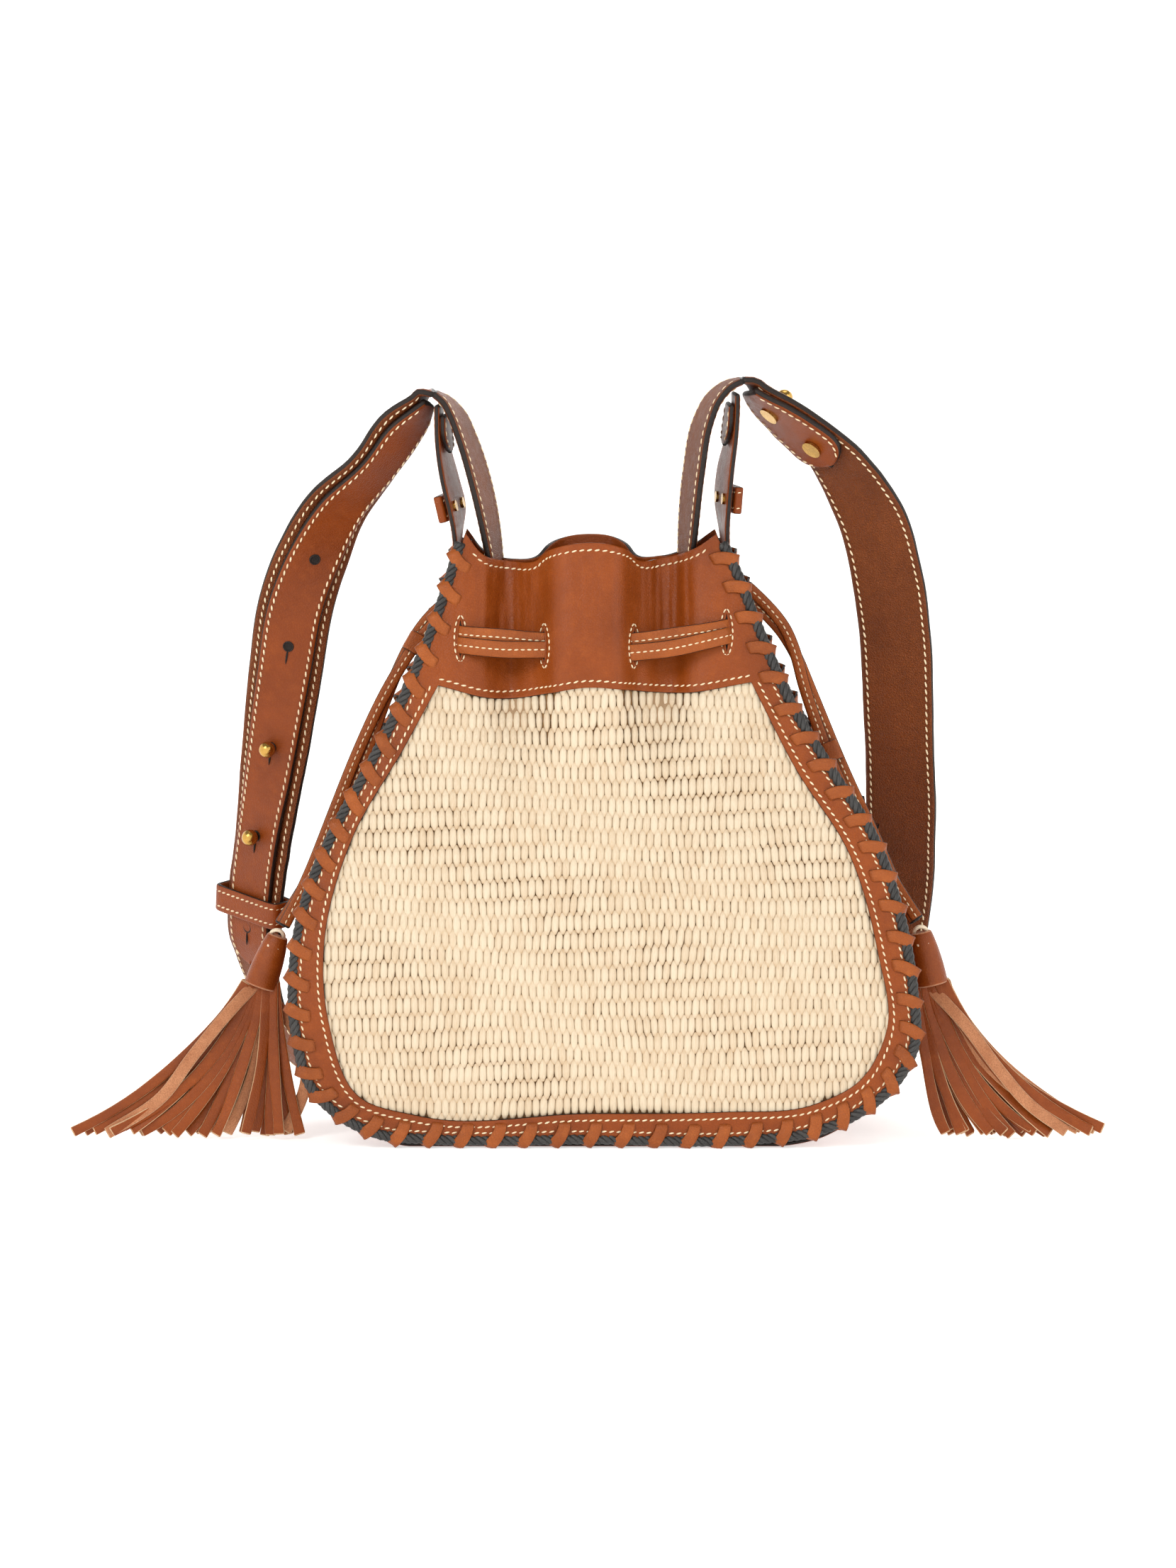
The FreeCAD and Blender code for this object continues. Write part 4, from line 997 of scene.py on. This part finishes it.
RIGHT_LEG = [
    ((69.4, -17.0, 337.9), (69.4, 17.0, 337.3)), ((73.8, -16.6, 337.8), (71.9, 16.8, 335.9)),
    ((80.0, -16.0, 334.5), (75.5, 16.5, 328.0)), ((93.9, -15.0, 326.6), (84.5, 16.0, 316.0)),
    ((111.7, -13.0, 314.7), (96.5, 15.5, 304.0)), ((129.8, -9.0, 297.0), (106.0, 14.5, 288.0)),
    ((141.7, -2.0, 279.0), (112.5, 15.5, 272.0)), ((149.0, 6.0, 255.0), (117.5, 19.0, 253.0)),
    ((153.8, 16.0, 225.0), (121.8, 27.0, 226.0)), ((156.0, 28.0, 183.0), (125.0, 41.0, 183.0)),
    ((158.0, 45.0, 132.0), (126.5, 57.0, 132.0)), ((157.6, 61.0, 102.0), (124.5, 69.0, 102.0)),
    ((155.0, 74.0, 77.0), (121.5, 73.0, 77.0)), ((152.0, 88.0, 50.0), (128.0, 64.5, 48.0)),
    ((146.0, 98.0, 27.0), (128.5, 69.5, 25.0)), ((129.0, 105.0, 11.5), (114.0, 75.0, 10.5)),
    ((104.0, 112.0, 4.0), (92.0, 80.5, 3.4)), ((70.0, 119.0, 2.3), (61.0, 86.5, 2.3)),
    ((35.0, 124.0, 2.3), (31.0, 90.0, 2.3)),
]
MIDDLE = [((0.0, 126.0, 2.3), (0.0, 92.0, 2.3))]
LEFT_TAIL = [
    ((-43.8, -13.0, 256.0), (-40.0, 13.0, 254.0)), ((-45.8, -15.0, 266.0), (-42.2, 15.0, 265.0)),
    ((-52.0, -17.0, 292.8), (-49.0, 17.0, 292.8)), ((-57.4, -17.0, 311.6), (-55.6, 17.0, 311.8)),
    ((-61.4, -17.0, 322.5), (-60.4, 17.0, 323.0)), ((-64.4, -17.0, 328.2), (-64.4, 17.0, 328.5)),
    ((-67.9, -17.0, 331.4), (-67.9, 17.0, 331.0)),
]
RIGHT_TAIL = [
    ((46.4, -13.0, 258.0), (42.4, 13.0, 256.0)), ((47.7, -15.0, 270.0), (43.9, 15.0, 268.0)),
    ((50.8, -17.0, 297.5), (48.2, 17.0, 297.5)), ((54.5, -17.0, 319.0), (52.9, 17.0, 319.4)),
    ((58.6, -17.0, 329.2), (58.0, 17.0, 330.0)), ((64.2, -17.0, 335.4), (64.0, 17.0, 335.6)),
    ((67.9, -17.0, 337.2), (67.9, 17.0, 337.0)),
]
DRAW_LINE = [
    (-59.4, -23.4, 224.4), (-56.6, -28.6, 224.0), (-50.0, -32.5, 223.4), (-38.0, -33.0, 222.4),
    (-19.3, -33.0, 221.2), (0.0, -33.0, 221.0), (20.3, -33.0, 221.0), (38.0, -33.0, 223.0),
    (53.0, -32.5, 225.4), (61.4, -28.6, 226.8), (64.2, -23.4, 227.2),
]
LEFT_END = [
    (-64.5, 4.5, 235.0), (-73.5, 3.4, 227.5), (-87.5, 0.0, 203.0), (-99.5, -6.0, 175.0),
    (-113.5, -14.0, 141.0), (-126.5, -20.0, 113.0), (-136.2, -24.0, 96.6),
]
RIGHT_END = [
    (70.0, 4.0, 244.0), (84.0, 5.0, 232.0), (93.0, 4.2, 217.0), (98.5, 2.0, 199.0),
    (113.0, -4.5, 161.0), (126.0, -12.0, 135.0), (137.0, -19.5, 112.0), (145.6, -24.0, 98.4),
]
STRAP_THICK, PLY_LIFT = 3.2, 3.5
TIP_LENGTH = 13.0
HOLE_PLY_MARGIN = 4.6

# How far the back edge of each row of a strap end is turned towards the bag's middle.
TAIL_TURN = (1.0, 2.5, 4.5, 4.8, 4.0, 2.0, 0.0)


def six(rows):
    return [tuple(a) + tuple(b) for a, b in rows]


strap_line = six(LEFT_LEG + MIDDLE + list(reversed(RIGHT_LEG)))
last_run = len(strap_line) - 2


def between(pairs, index, part):
    a, b = np.array(pairs[index]), np.array(pairs[index + 1])
    return tuple(a + (b - a) * part)


def strap_frame(index, part):
    """A place on the strap: its middle, the direction along it, across it and its inner normal."""
    row = np.array(between(strap_line, index, part))
    start, end = np.array(strap_line[index]), np.array(strap_line[index + 1])
    along = unit((end[:3] + end[3:] - start[:3] - start[3:]) / 2)
    normal = unit(np.cross(along, unit(row[3:] - row[:3])))
    return (row[:3] + row[3:]) / 2, along, np.cross(normal, along), normal


def ripple(place):
    """A slow unevenness of the strap's leather."""
    return noise.noise(Vector(place) * 0.045) + 0.4 * noise.noise(Vector(place) * 0.13)


def strap_piece(
    name, pairs, count, body, nodes, skins, lift=0.0, thick=STRAP_THICK, sewn=(-1, 1), tip=None, bend=0.0
):
    """A strap ply with rounded edges, and a row of stitches near each edge on the faces that show them.

    tip is the end that is rounded, and bend is how far the ply's unevenness moves it.
    """
    band = even(curve(pairs, 14), count)
    if tip:
        middle = (band[:, :3] + band[:, 3:]) / 2
        half = (band[:, 3:] - band[:, :3]) / 2
        steps = distances(middle)
        left = (steps[-1] - steps) if tip == "end" else steps
        scale = np.sqrt(np.clip(1 - (1 - np.clip(left / TIP_LENGTH, 0.0, 1.0)) ** 2, 0.04, 1.0))[:, None]
        band = np.concatenate([middle - half * scale, middle + half * scale], axis=1)
    grid = lerp_rows(band, 11, thick / 2)
    inner = normals_of(grid)
    wave = np.array([[ripple(p) for p in row] for row in grid])
    grid = grid + inner * (wave[:, :, None] * bend + lift)
    bm = new_mesh()
    verts = slab(bm, grid - inner * thick / 2, thick, (0, 1, 2), normals=-inner, end_mat=1)
    layer = bm.verts.layers.float["wear_and_shade"]
    columns = len(verts) // (count + 4)
    for k, vert in enumerate(verts):
        place = k % columns
        near_edge = place in (0, 10, 14, 24)
        vert[layer] = (0.55 if near_edge else 0.1) + 0.25 * noise.noise(vert.co * 0.03)
    piece_from(bm, name, skins, body, nodes, "strap_leather")
    if not sewn:
        return
    beads = []
    dense = lerp_rows(band, 35, 0.0)
    face_up = normals_of(dense)
    for face in sewn:
        for column in (3, 31):
            lift_here = lift + face * (thick / 2 + 0.08)
            near = np.array([ripple(p) for p in dense[:, column]])
            line = dense[:, column] + face_up[:, column] * (lift_here + near[:, None] * bend)
            stitches(beads, line[2:-2], face_up[2:-2, column] * face, 3.6, 1.4, 0.45, 0.45)
    stitch_piece(name + "_stitching", beads, body, "strap_leather")


def narrowed(pairs, margin):
    rows = np.array(pairs)
    pull = unit(rows[:, 3:] - rows[:, :3]) * margin
    return np.concatenate([rows[:, :3] + pull, rows[:, 3:] - pull], axis=1)


def turned_tail(rows, sign):
    """The strap's end, turned a little so that its outer face looks forward."""
    return [(*a, b[0] + sign * turn, b[1], b[2]) for (a, b), turn in zip(rows, TAIL_TURN)]


INSIDE, UNDERSIDE, OUTSIDE = (STRAP, RIM, STRAP), (STRAP, RIM, UNDER), (UNDER, RIM, STRAP)
strap_start = (-69.7, -17.0, 332.1, -69.7, 17.0, 331.5)
strap_end = (69.7, -17.0, 337.9, 69.7, 17.0, 337.2)
band_line = [strap_start] + strap_line[1:-1] + [strap_end]
hole_line = [between(strap_line, 1, 0.5)] + strap_line[2:13] + [between(strap_line, 12, 0.55)]
stud_line = [between(strap_line, last_run - 4, 0.55)] + strap_line[-5:-2]
stud_line += [between(strap_line, last_run - 1, 0.5)]
hole_rows = narrowed(hole_line, HOLE_PLY_MARGIN)
swinging = "shoulder_strap"
strap_piece("strap_band", band_line, 330, swinging, ["shoulder_strap"], UNDERSIDE, bend=0.7)
ply = {"skins": INSIDE, "lift": PLY_LIFT, "sewn": (1,)}
strap_piece("strap_hole_ply", hole_rows, 130, swinging, ["hole_strap"], tip="end", **ply)
strap_piece("strap_stud_ply", stud_line, 40, swinging, ["stud_tab"], tip="start", bend=0.7, **ply)
strap_piece("left_strap_end", turned_tail(LEFT_TAIL, 1), 60, "bag", ["left_strap_tail"], OUTSIDE)
strap_piece("right_strap_end", turned_tail(RIGHT_TAIL, -1), 60, "bag", ["right_strap_tail"], UNDERSIDE)


TONGUE_MARGIN, TONGUE_THICK = 0.6, 2.4


def tongue(name, tab, side, node):
    """The rounded end of a strap ply, sewn on the inner side of a gusset tab."""
    half = TAB_HALF - TONGUE_MARGIN
    rows = [(near, -half, z, far, half, z) for near, far, z in tab[:3]]
    pairs = [rows[0], rows[1], between(rows, 1, 0.3)]
    lift = side * ((GUSSET_THICK + TONGUE_THICK) / 2 + 0.3)
    strap_piece(name, pairs, 30, "bag", [node], INSIDE, lift, TONGUE_THICK, (side,), tip="end")


tongue("left_tab_tongue", LEFT_TAB, 1, "hole_strap_tongue")
tongue("right_tab_tongue", RIGHT_TAB, -1, "stud_tab_tongue")


# Each hole's run of the strap, its share of that run, and whether a short cut leads from it.
HOLES = [(6, 0.1, False), (7, 0.6, True), (8, 0.68, True), (10, 0.0, True), (11, 0.82, True)]
CUT_LENGTH = 6.5
CUT_RADII = [0.1, 0.42, 0.5, 0.5, 0.5, 0.42, 0.3, 0.08]


def circle(middle, along, across, radius, count):
    turns = np.linspace(0, 2 * math.pi, count)
    return [middle + (along * math.cos(turn) + across * math.sin(turn)) * radius for turn in turns]


def punched_holes():
    """Round holes drawn as dark discs of painted shade, with a short cut of the same shade below each, in the
    ply with the holes.
    """
    bm = new_mesh()
    for index, part, cut in HOLES:
        middle, along, across, normal = strap_frame(index, part)
        face = middle + normal * (PLY_LIFT + STRAP_THICK / 2 + 0.15)
        rows = [circle(face - normal * 0.02 * r, along, across, r, 21) for r in (0.02, 1.0, 1.9)]
        add_sheet(bm, np.array(rows), lambda row, column: 0)
        tube(bm, circle(face, along, across, 2.2, 25), 0.36, 6, 1)
        if cut:
            start = face + along * 2.0
            tube(bm, [start + along * CUT_LENGTH * t for t in np.linspace(0, 1, 8)], CUT_RADII, 6, 0)
    piece_from(bm, "strap_punched_holes", [HOLE_SHADE, RIM], "shoulder_strap", slot="strap_leather")


punched_holes()


# ---- Keepers and sliders ----

def loop_piece(name, node, body, slot, skin, at, x_axis, z_axis, sizes, wall, corner, sewn):
    """A leather loop that a strap or lace passes through, along its own Z.

    corner is how square its outline is, and sewn lists the rows round it that are stitched.
    """
    wide, deep, tall = sizes
    x, z = unit(np.array(x_axis, dtype=float)), unit(np.array(z_axis, dtype=float))
    y = np.cross(z, x)
    outline = []
    for turn in np.linspace(0.0, 2 * math.pi, 65):
        c, s = math.cos(turn), math.sin(turn)
        power = 2.0 / corner
        px = math.copysign(abs(c) ** power, c) * wide / 2
        py = math.copysign(abs(s) ** power, s) * deep / 2
        outline.append((px, py))
    outline = even(np.array(outline), 73)
    heights = np.linspace(-tall / 2 + wall / 2, tall / 2 - wall / 2, 7)
    grid = np.array([[np.array(at) + x * px + y * py + z * h for h in heights] for px, py in outline])
    centre = grid.mean(axis=(0,))[None]
    out = unit(grid - centre)
    cross = unit(np.cross(np.gradient(grid, axis=0), np.gradient(grid, axis=1)))
    cross[0] = cross[-1] = unit(cross[1] + cross[-2])
    if float((cross * out).sum()) < 0:
        cross = -cross
    bm = new_mesh()
    slab(bm, grid, wall, (0, 1, 0), normals=cross, ends=False)
    paint(bm, bm.verts, "wear_and_shade", lambda p: 0.15 + 0.3 * noise.noise(p * 0.1))
    piece_from(bm, name, [skin, RIM], body, [node], slot, merge=0.02)
    beads = []
    for column in sewn:
        stitches(beads, grid[:, column] + cross[:, column] * 0.05, cross[:, column], pitch=3.0, long=1.15)
    if beads:
        stitch_piece(name + "_stitching", beads, body, slot)


keeper_at, keeper_along, keeper_across, keeper_normal = strap_frame(11, 0.36)
keeper = "strap_keeper"
keeper_place = (keeper_at + keeper_normal * PLY_LIFT / 2, keeper_across, -keeper_along)
keeper_sizes = (39.6, 13.4, 12.6)
keeper_shape = (keeper_sizes, 1.9, 7.0, (1, 5))
loop_piece("strap_keeper_loop", keeper, keeper, "strap_leather", STRAP, *keeper_place, *keeper_shape)


def point_on(route, run, part):
    start, end = np.array(route[run]), np.array(route[run + 1])
    return start + (end - start) * part, unit(start - end)


slider_sizes, bridge_sizes = (7.8, 9.4, 9.0), (30.0, 4.4, 12.0)
for label, route, run, part in (("left_slider", LEFT_END, 1, 0.3), ("right_slider", RIGHT_END, 3, 0.72)):
    at, upward = point_on(route, run, part)
    place = (at, unit(np.cross((0.0, 1.0, 0.0), upward)), upward)
    loop_piece(label + "_loop", label, label, "lace_leather", LACE, *place, slider_sizes, 1.5, 4.0, ())

for name, tab, side in (("left", LEFT_TAB, -1), ("right", RIGHT_TAB, 1)):
    low = np.array(((tab[3][0] + tab[3][1]) / 2, 0.0, tab[3][2]))
    high = np.array(((tab[2][0] + tab[2][1]) / 2, 0.0, tab[2][2]))
    upward = unit(high - low)
    twist = -math.atan2(tab[3][1] - tab[3][0], 2 * TAB_HALF)
    outward = np.array((side * math.cos(twist), side * math.sin(twist), 0.0))
    outward = unit(outward - upward * outward.dot(upward))
    place = (low + upward * 2.0 + outward * 4.4, np.cross(upward, outward), upward)
    label, node = name + "_tab_loop", name + "_tab_keeper"
    loop_piece(label, node, "bag", "tan_leather", TAN, *place, bridge_sizes, 1.5, 6.0, (1, 5))


# ---- Drawstring ----

def lace_piece(name, p, width, body, nodes, up_hint, thick=1.7):
    """A flat lace with painted edges and one row of stitches down its middle."""
    along = unit(np.gradient(p, axis=0))
    out = unit(up_hint - along * (up_hint * along).sum(axis=1, keepdims=True))
    across = np.cross(out, along)
    parts = np.linspace(-0.5, 0.5, 5)[None, :, None]
    reach = width - thick
    crown = 0.18 * (1 - (2 * parts) ** 2)
    grid = p[:, None] + across[:, None] * parts * reach + out[:, None] * (thick / 2 + crown)
    bm = new_mesh()
    slab(bm, grid, thick, (0, 1, 0), normals=np.repeat(out[:, None], 5, axis=1))
    paint(bm, bm.verts, "wear_and_shade", lambda at: 0.2 + 0.4 * noise.noise(at * 0.07))
    piece = piece_from(bm, name, [LACE, RIM], body, nodes, "lace_leather")
    beads = []
    stitches(beads, p + out * (thick / 2 + 0.2), out, 2.9, 1.05, 0.36, 0.36, slant=3.0)
    sewing = stitch_piece(name + "_stitching", beads, body, "lace_leather")
    return piece, sewing


def peak_at(values, low, peak, high):
    """1 at the peak, falling evenly to 0 at low and high."""
    falling, rising = (high - values) / (high - peak), (values - low) / (peak - low)
    return np.clip(np.where(values > peak, falling, rising), 0.0, 1.0)


# Halfway between a pair of slits, where the laces bow out most.
SLIT_MIDDLE = 38.0
DRAW_WIDTH, END_WIDTH = 7.6, 5.4


def make_drawstring(side):
    """The two laces that run one over the other through the collar's slits."""
    name = side_name(side)
    for level, label in ((-1, "lower"), (1, "upper")):
        line = even(curve([(x, -side * y, z) for x, y, z in DRAW_LINE], 12), 120)
        beside = np.abs(line[:, 0])
        spread = 2.1 + 0.5 * np.exp(-(((beside - SLIT_MIDDLE) / 12.0) ** 2))
        tilt = 0.03 * np.sign(line[:, 0]) * (SLIT_MIDDLE - beside) * (level < 0)
        line[:, 2] += level * spread - tilt
        line[:, 1] += side * (1.6 * peak_at(beside, 24.0, 36.0, 52.0) + 1.0 - 1.0 * level)
        hint = np.tile((0.0, float(side), 0.0), (len(line), 1))
        label = name + "_drawstring_" + label
        lace_piece(label, line, DRAW_WIDTH, "bag", ["drawstring_" + name], hint)


def lens_outline(x, z, wide, tall, power):
    """A closed lens round a place. The power says how pointed its two ends are."""
    turns = np.linspace(0, 2 * math.pi, 41)
    return [(x + wide * math.sin(t) * abs(math.sin(t)) ** power, z + tall * math.cos(t)) for t in turns]


def make_slits(side):
    """The slits that the drawstring passes through: an opening painted dark as shade, its folded lip and its
    stitches.
    """
    bm = new_mesh()
    beads = []
    for x, z in SLITS:
        tall, wide = (9.4, 1.25) if abs(x) > SLIT_MIDDLE else (8.8, 0.8)
        lens = lens_outline(x, z, wide, tall, 0.4)
        rows = [[(x + (px - x) * f, z + (pz - z) * f) for px, pz in lens] for f in (0.02, 0.5, 1.0)]
        # Painted shade: a dark lens sheet fills each slit's opening.
        add_sheet(bm, on_panel(np.array(rows), side, 0.25), lambda row, column: 0)
        tube(bm, on_panel(np.array(lens), side, 0.25), 0.5, 8, 1)
        line = on_panel(np.array(lens_outline(x, z, wide + 1.5, tall + 1.3, 0.3)), side, 0.05)
        hint = np.tile((0.0, float(side), 0.0), (len(line), 1))
        stitches(beads, line, hint, pitch=2.9, long=1.1, slant=0.0)
    paint(bm, bm.verts, "wear_and_shade", 0.3)
    name = side_name(side)
    piece_from(bm, name + "_slit_lips", [HOLE_SHADE, TAN], "bag", slot="tan_leather")
    stitch_piece(name + "_slit_stitching", beads, "bag", "tan_leather")


def route_line(route):
    """Points on the smooth spline that takes a route's points as its control points, in metres."""
    data = bpy.data.curves.new("route", "CURVE")
    data.dimensions = "3D"
    spline = data.splines.new("NURBS")
    spline.points.add(len(route) - 1)
    for point, at in zip(spline.points, route):
        point.co = (at[0] * MM, at[1] * MM, at[2] * MM, 1.0)
    spline.order_u = 3
    spline.use_endpoint_u = True
    spline.resolution_u = 12
    holder = bpy.data.objects.new("route", data)
    mesh = bpy.data.meshes.new_from_object(holder)
    points = [tuple(vert.co) for vert in mesh.vertices]
    bpy.data.objects.remove(holder)
    bpy.data.meshes.remove(mesh)
    return points


def make_drawstring_end(name, route):
    """The two flat laces that leave the side of the mouth together and end at a tassel."""
    points = np.array(route_line(route)) / MM
    along = unit(np.gradient(points, axis=0))
    front = np.tile((0.0, -1.0, 0.0), (len(points), 1))
    out = unit(front - along * (front * along).sum(axis=1, keepdims=True))
    across = np.cross(out, along)
    place = np.linspace(0.0, 1.0, len(points))[:, None]
    for level, label in ((-1, "under"), (1, "over")):
        apart = 1.9 * np.cos(place * 5.0 + (0.4 if level > 0 else 0.0)) * level
        line = points + out * level * 1.0 + across * apart
        piece, sewing = lace_piece(name + "_" + label, line, END_WIDTH, "bag", [name], out)


for side in (-1, 1):
    make_drawstring(side)
    make_slits(side)
make_drawstring_end("left_drawstring_end", LEFT_END)
make_drawstring_end("right_drawstring_end", RIGHT_END)


# ---- Tassels ----

HEAD_LENGTH, SEAM_TURN = 23.0, 0.9
STRIPS, STRIP_THICK = 34, 1.25


def make_tassel(name, pivot, lean, tips, stray):
    """A rolled leather head, its tie, and layers of cut strips that fan out and rest on the ground."""
    body = name + "_tassel"
    pivot = np.array(pivot, dtype=float)
    down = unit(np.array((lean, 0.0, -1.0)))
    across = unit(np.cross(down, (0.0, 1.0, 0.0)))
    deep = np.cross(across, down)
    rows = []
    for t in np.linspace(0.0, 1.0, 16):
        radius = 4.6 + 2.5 * t ** 0.8 + 0.5 * math.sin(math.pi * t)
        ring = []
        for turn in np.linspace(0.0, 2 * math.pi, 37):
            spiral = radius + 0.9 * (turn / (2 * math.pi) - 0.5)
            outward = across * math.cos(turn + SEAM_TURN) + deep * math.sin(turn + SEAM_TURN)
            ring.append(pivot + down * (HEAD_LENGTH * t) + outward * spiral)
        rows.append(ring)
    grid = np.array(rows)
    bm = new_mesh()
    inward = float((normals_of(grid) * (grid - grid.mean(axis=(0, 1)))).sum()) < 0
    slab(bm, grid, 1.5, (0, 1, 2), flip=inward, end_mat=2)
    inner = [pivot + down * (0.8 + 21.5 * t) for t in np.linspace(0, 1, 8)]
    tube(bm, inner, [3.4, 3.8, 4.1, 4.4, 4.8, 5.1, 5.3, 5.4], 14, 2)
    paint(bm, bm.verts, "wear_and_shade", lambda at: 0.2 + 0.4 * noise.noise(at * 0.09))
    piece_from(bm, name + "_head_roll", [TASSEL, RAW, NAP], body, [name + "_tassel_head"], "tassel_leather")
    bm = new_mesh()
    for tilt, size in ((0.0, 3.1), (0.35, 2.9)):
        ring = []
        for turn in np.linspace(0, 2 * math.pi, 29):
            flat = across * math.cos(turn) + down * math.sin(turn)
            ring.append(pivot + flat * size + deep * (2.6 * math.sin(turn) * (0.5 + tilt)))
        tube(bm, ring, 0.78, 7, 0)
    for sign in (-1, 1):
        spot = pivot + down * 4.6 + across * 2.1 * sign - deep * 4.2
        knot = [spot + deep * 0.9 * t - down * 0.4 * t for t in np.linspace(-1, 1, 5)]
        tube(bm, knot, [0.5, 0.9, 1.05, 0.9, 0.4], 7, 0)
    paint(bm, bm.verts, "tone", 0.7)
    piece_from(bm, name + "_tie_cord", [TIE], body, [name + "_tassel_tie"], "tie_cord")
    bm = new_mesh()
    foot = pivot + down * 22.0
    wear_and_shade = bm.verts.layers.float["wear_and_shade"]
    for i in range(STRIPS):
        part = i / (STRIPS - 1)
        layer = (i * 7) % 5
        depth = pivot[1] + (layer - 2.0) * 1.9
        spread = (part - 0.5) * 13.0
        start = foot + np.array((spread, 0.0, 0.0))
        start[1] = depth * 0.6 + pivot[1] * 0.4
        tip_x = tips[0] + (tips[1] - tips[0]) * part + rng.uniform(-2.0, 2.0)
        tip_x = clamp(tip_x, min(tips) - 0.5, max(tips) + 0.5)
        width = rng.uniform(4.7, 5.7)
        bend_x = start[0] + rng.uniform(0.16, 0.34) * (tip_x - start[0])
        bend = np.array((bend_x, depth, rng.uniform(22.0, 34.0)))
        flat = abs(tip_x - bend_x) / math.hypot(tip_x - bend_x, bend[2])
        tip_y = depth + rng.uniform(-2.0, 2.0)
        tip = np.array((tip_x, tip_y, 0.9 + width / 2 * flat + rng.uniform(0.0, 2.5)))
        rows = []
        phase, twist = rng.uniform(0, 6.28), rng.uniform(-0.45, 0.45)
        for t in np.linspace(0.0, 1.0, 18):
            at = start * (1 - t) ** 2 + bend * 2 * t * (1 - t) + tip * t ** 2
            along = unit((bend - start) * (1 - t) + (tip - bend) * t)
            wave = 0.8 * math.sin(phase + 5.0 * t) * t
            roll = twist * t + 0.15 * math.sin(phase + 3.0 * t)
            side_way = np.array((-along[2], 0.0, along[0]))
            side_way = side_way * math.cos(roll) + np.array((0.0, 1.0, 0.0)) * math.sin(roll)
            at = at + side_way * wave
            half = width / 2 * (0.92 + 0.08 * math.sin(phase + 9.0 * t)) - 0.5
            rows.append([at + side_way * half * s for s in (-1.0, -0.33, 0.33, 1.0)])
        grid = np.array(rows)
        grid[:, :, 2] = np.maximum(grid[:, :, 2], 0.8)
        turned = rng.random() < 0.14
        front = float(normals_of(grid)[:, :, 1].sum()) < 0
        mats = (2, 1, 0) if turned else (0, 1, 2)
        verts = slab(bm, grid, STRIP_THICK, mats, flip=not front, end_mat=1)
        shade = rng.uniform(0.0, 0.45)
        for vert in verts:
            vert[wear_and_shade] = shade
    for route in stray:
        line = even(curve(route, 12), 30)
        along = unit(np.gradient(line, axis=0))
        side_way = unit(np.cross(along, (0.0, -1.0, 0.25)))
        shares = (-2.1, -0.7, 0.7, 2.1)
        grid = np.array([[at + way * s for s in shares] for at, way in zip(line, side_way)])
        grid[:, :, 2] = np.maximum(grid[:, :, 2], 0.9)
        behind = float(normals_of(grid)[:, :, 1].sum()) > 0
        slab(bm, grid, STRIP_THICK, (2, 1, 2), flip=behind, end_mat=1)
    skins, slot = [TASSEL, RAW, NAP], "tassel_leather"
    piece_from(bm, name + "_fringe_strips", skins, body, [name + "_fringe"], slot)


# The paths of single strips that lie away from their fringe.
LEFT_ARCH = [
    (-148.5, -27.0, 69.6), (-160.0, -31.0, 57.5), (-175.7, -32.0, 38.4),
    (-190.0, -31.0, 19.5), (-214.0, -29.0, 3.4),
]
LEFT_CURL = [
    (-140.0, -22.0, 62.0), (-126.6, -24.0, 40.0), (-125.5, -25.0, 28.0),
    (-130.5, -25.0, 12.0), (-135.0, -25.0, 4.0),
]
RIGHT_ARCH = [
    (153.0, -27.0, 68.0), (168.0, -31.0, 52.0), (183.0, -32.0, 32.0),
    (196.0, -31.0, 17.0), (213.0, -29.0, 4.2),
]
make_tassel("left", (-138.4, -25.0, 91.0), -0.36, (-229.0, -127.5), [LEFT_ARCH, LEFT_CURL])
make_tassel("right", (148.0, -25.0, 92.5), 0.22, (158.5, 229.0), [RIGHT_ARCH])


# ---- Finish ----

for part in ("stud", "rivet"):
    for label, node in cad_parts.items():
        if part in label:
            node.data.materials.clear()
            node.data.materials.append(BRASS)

bpy.context.view_layer.update()
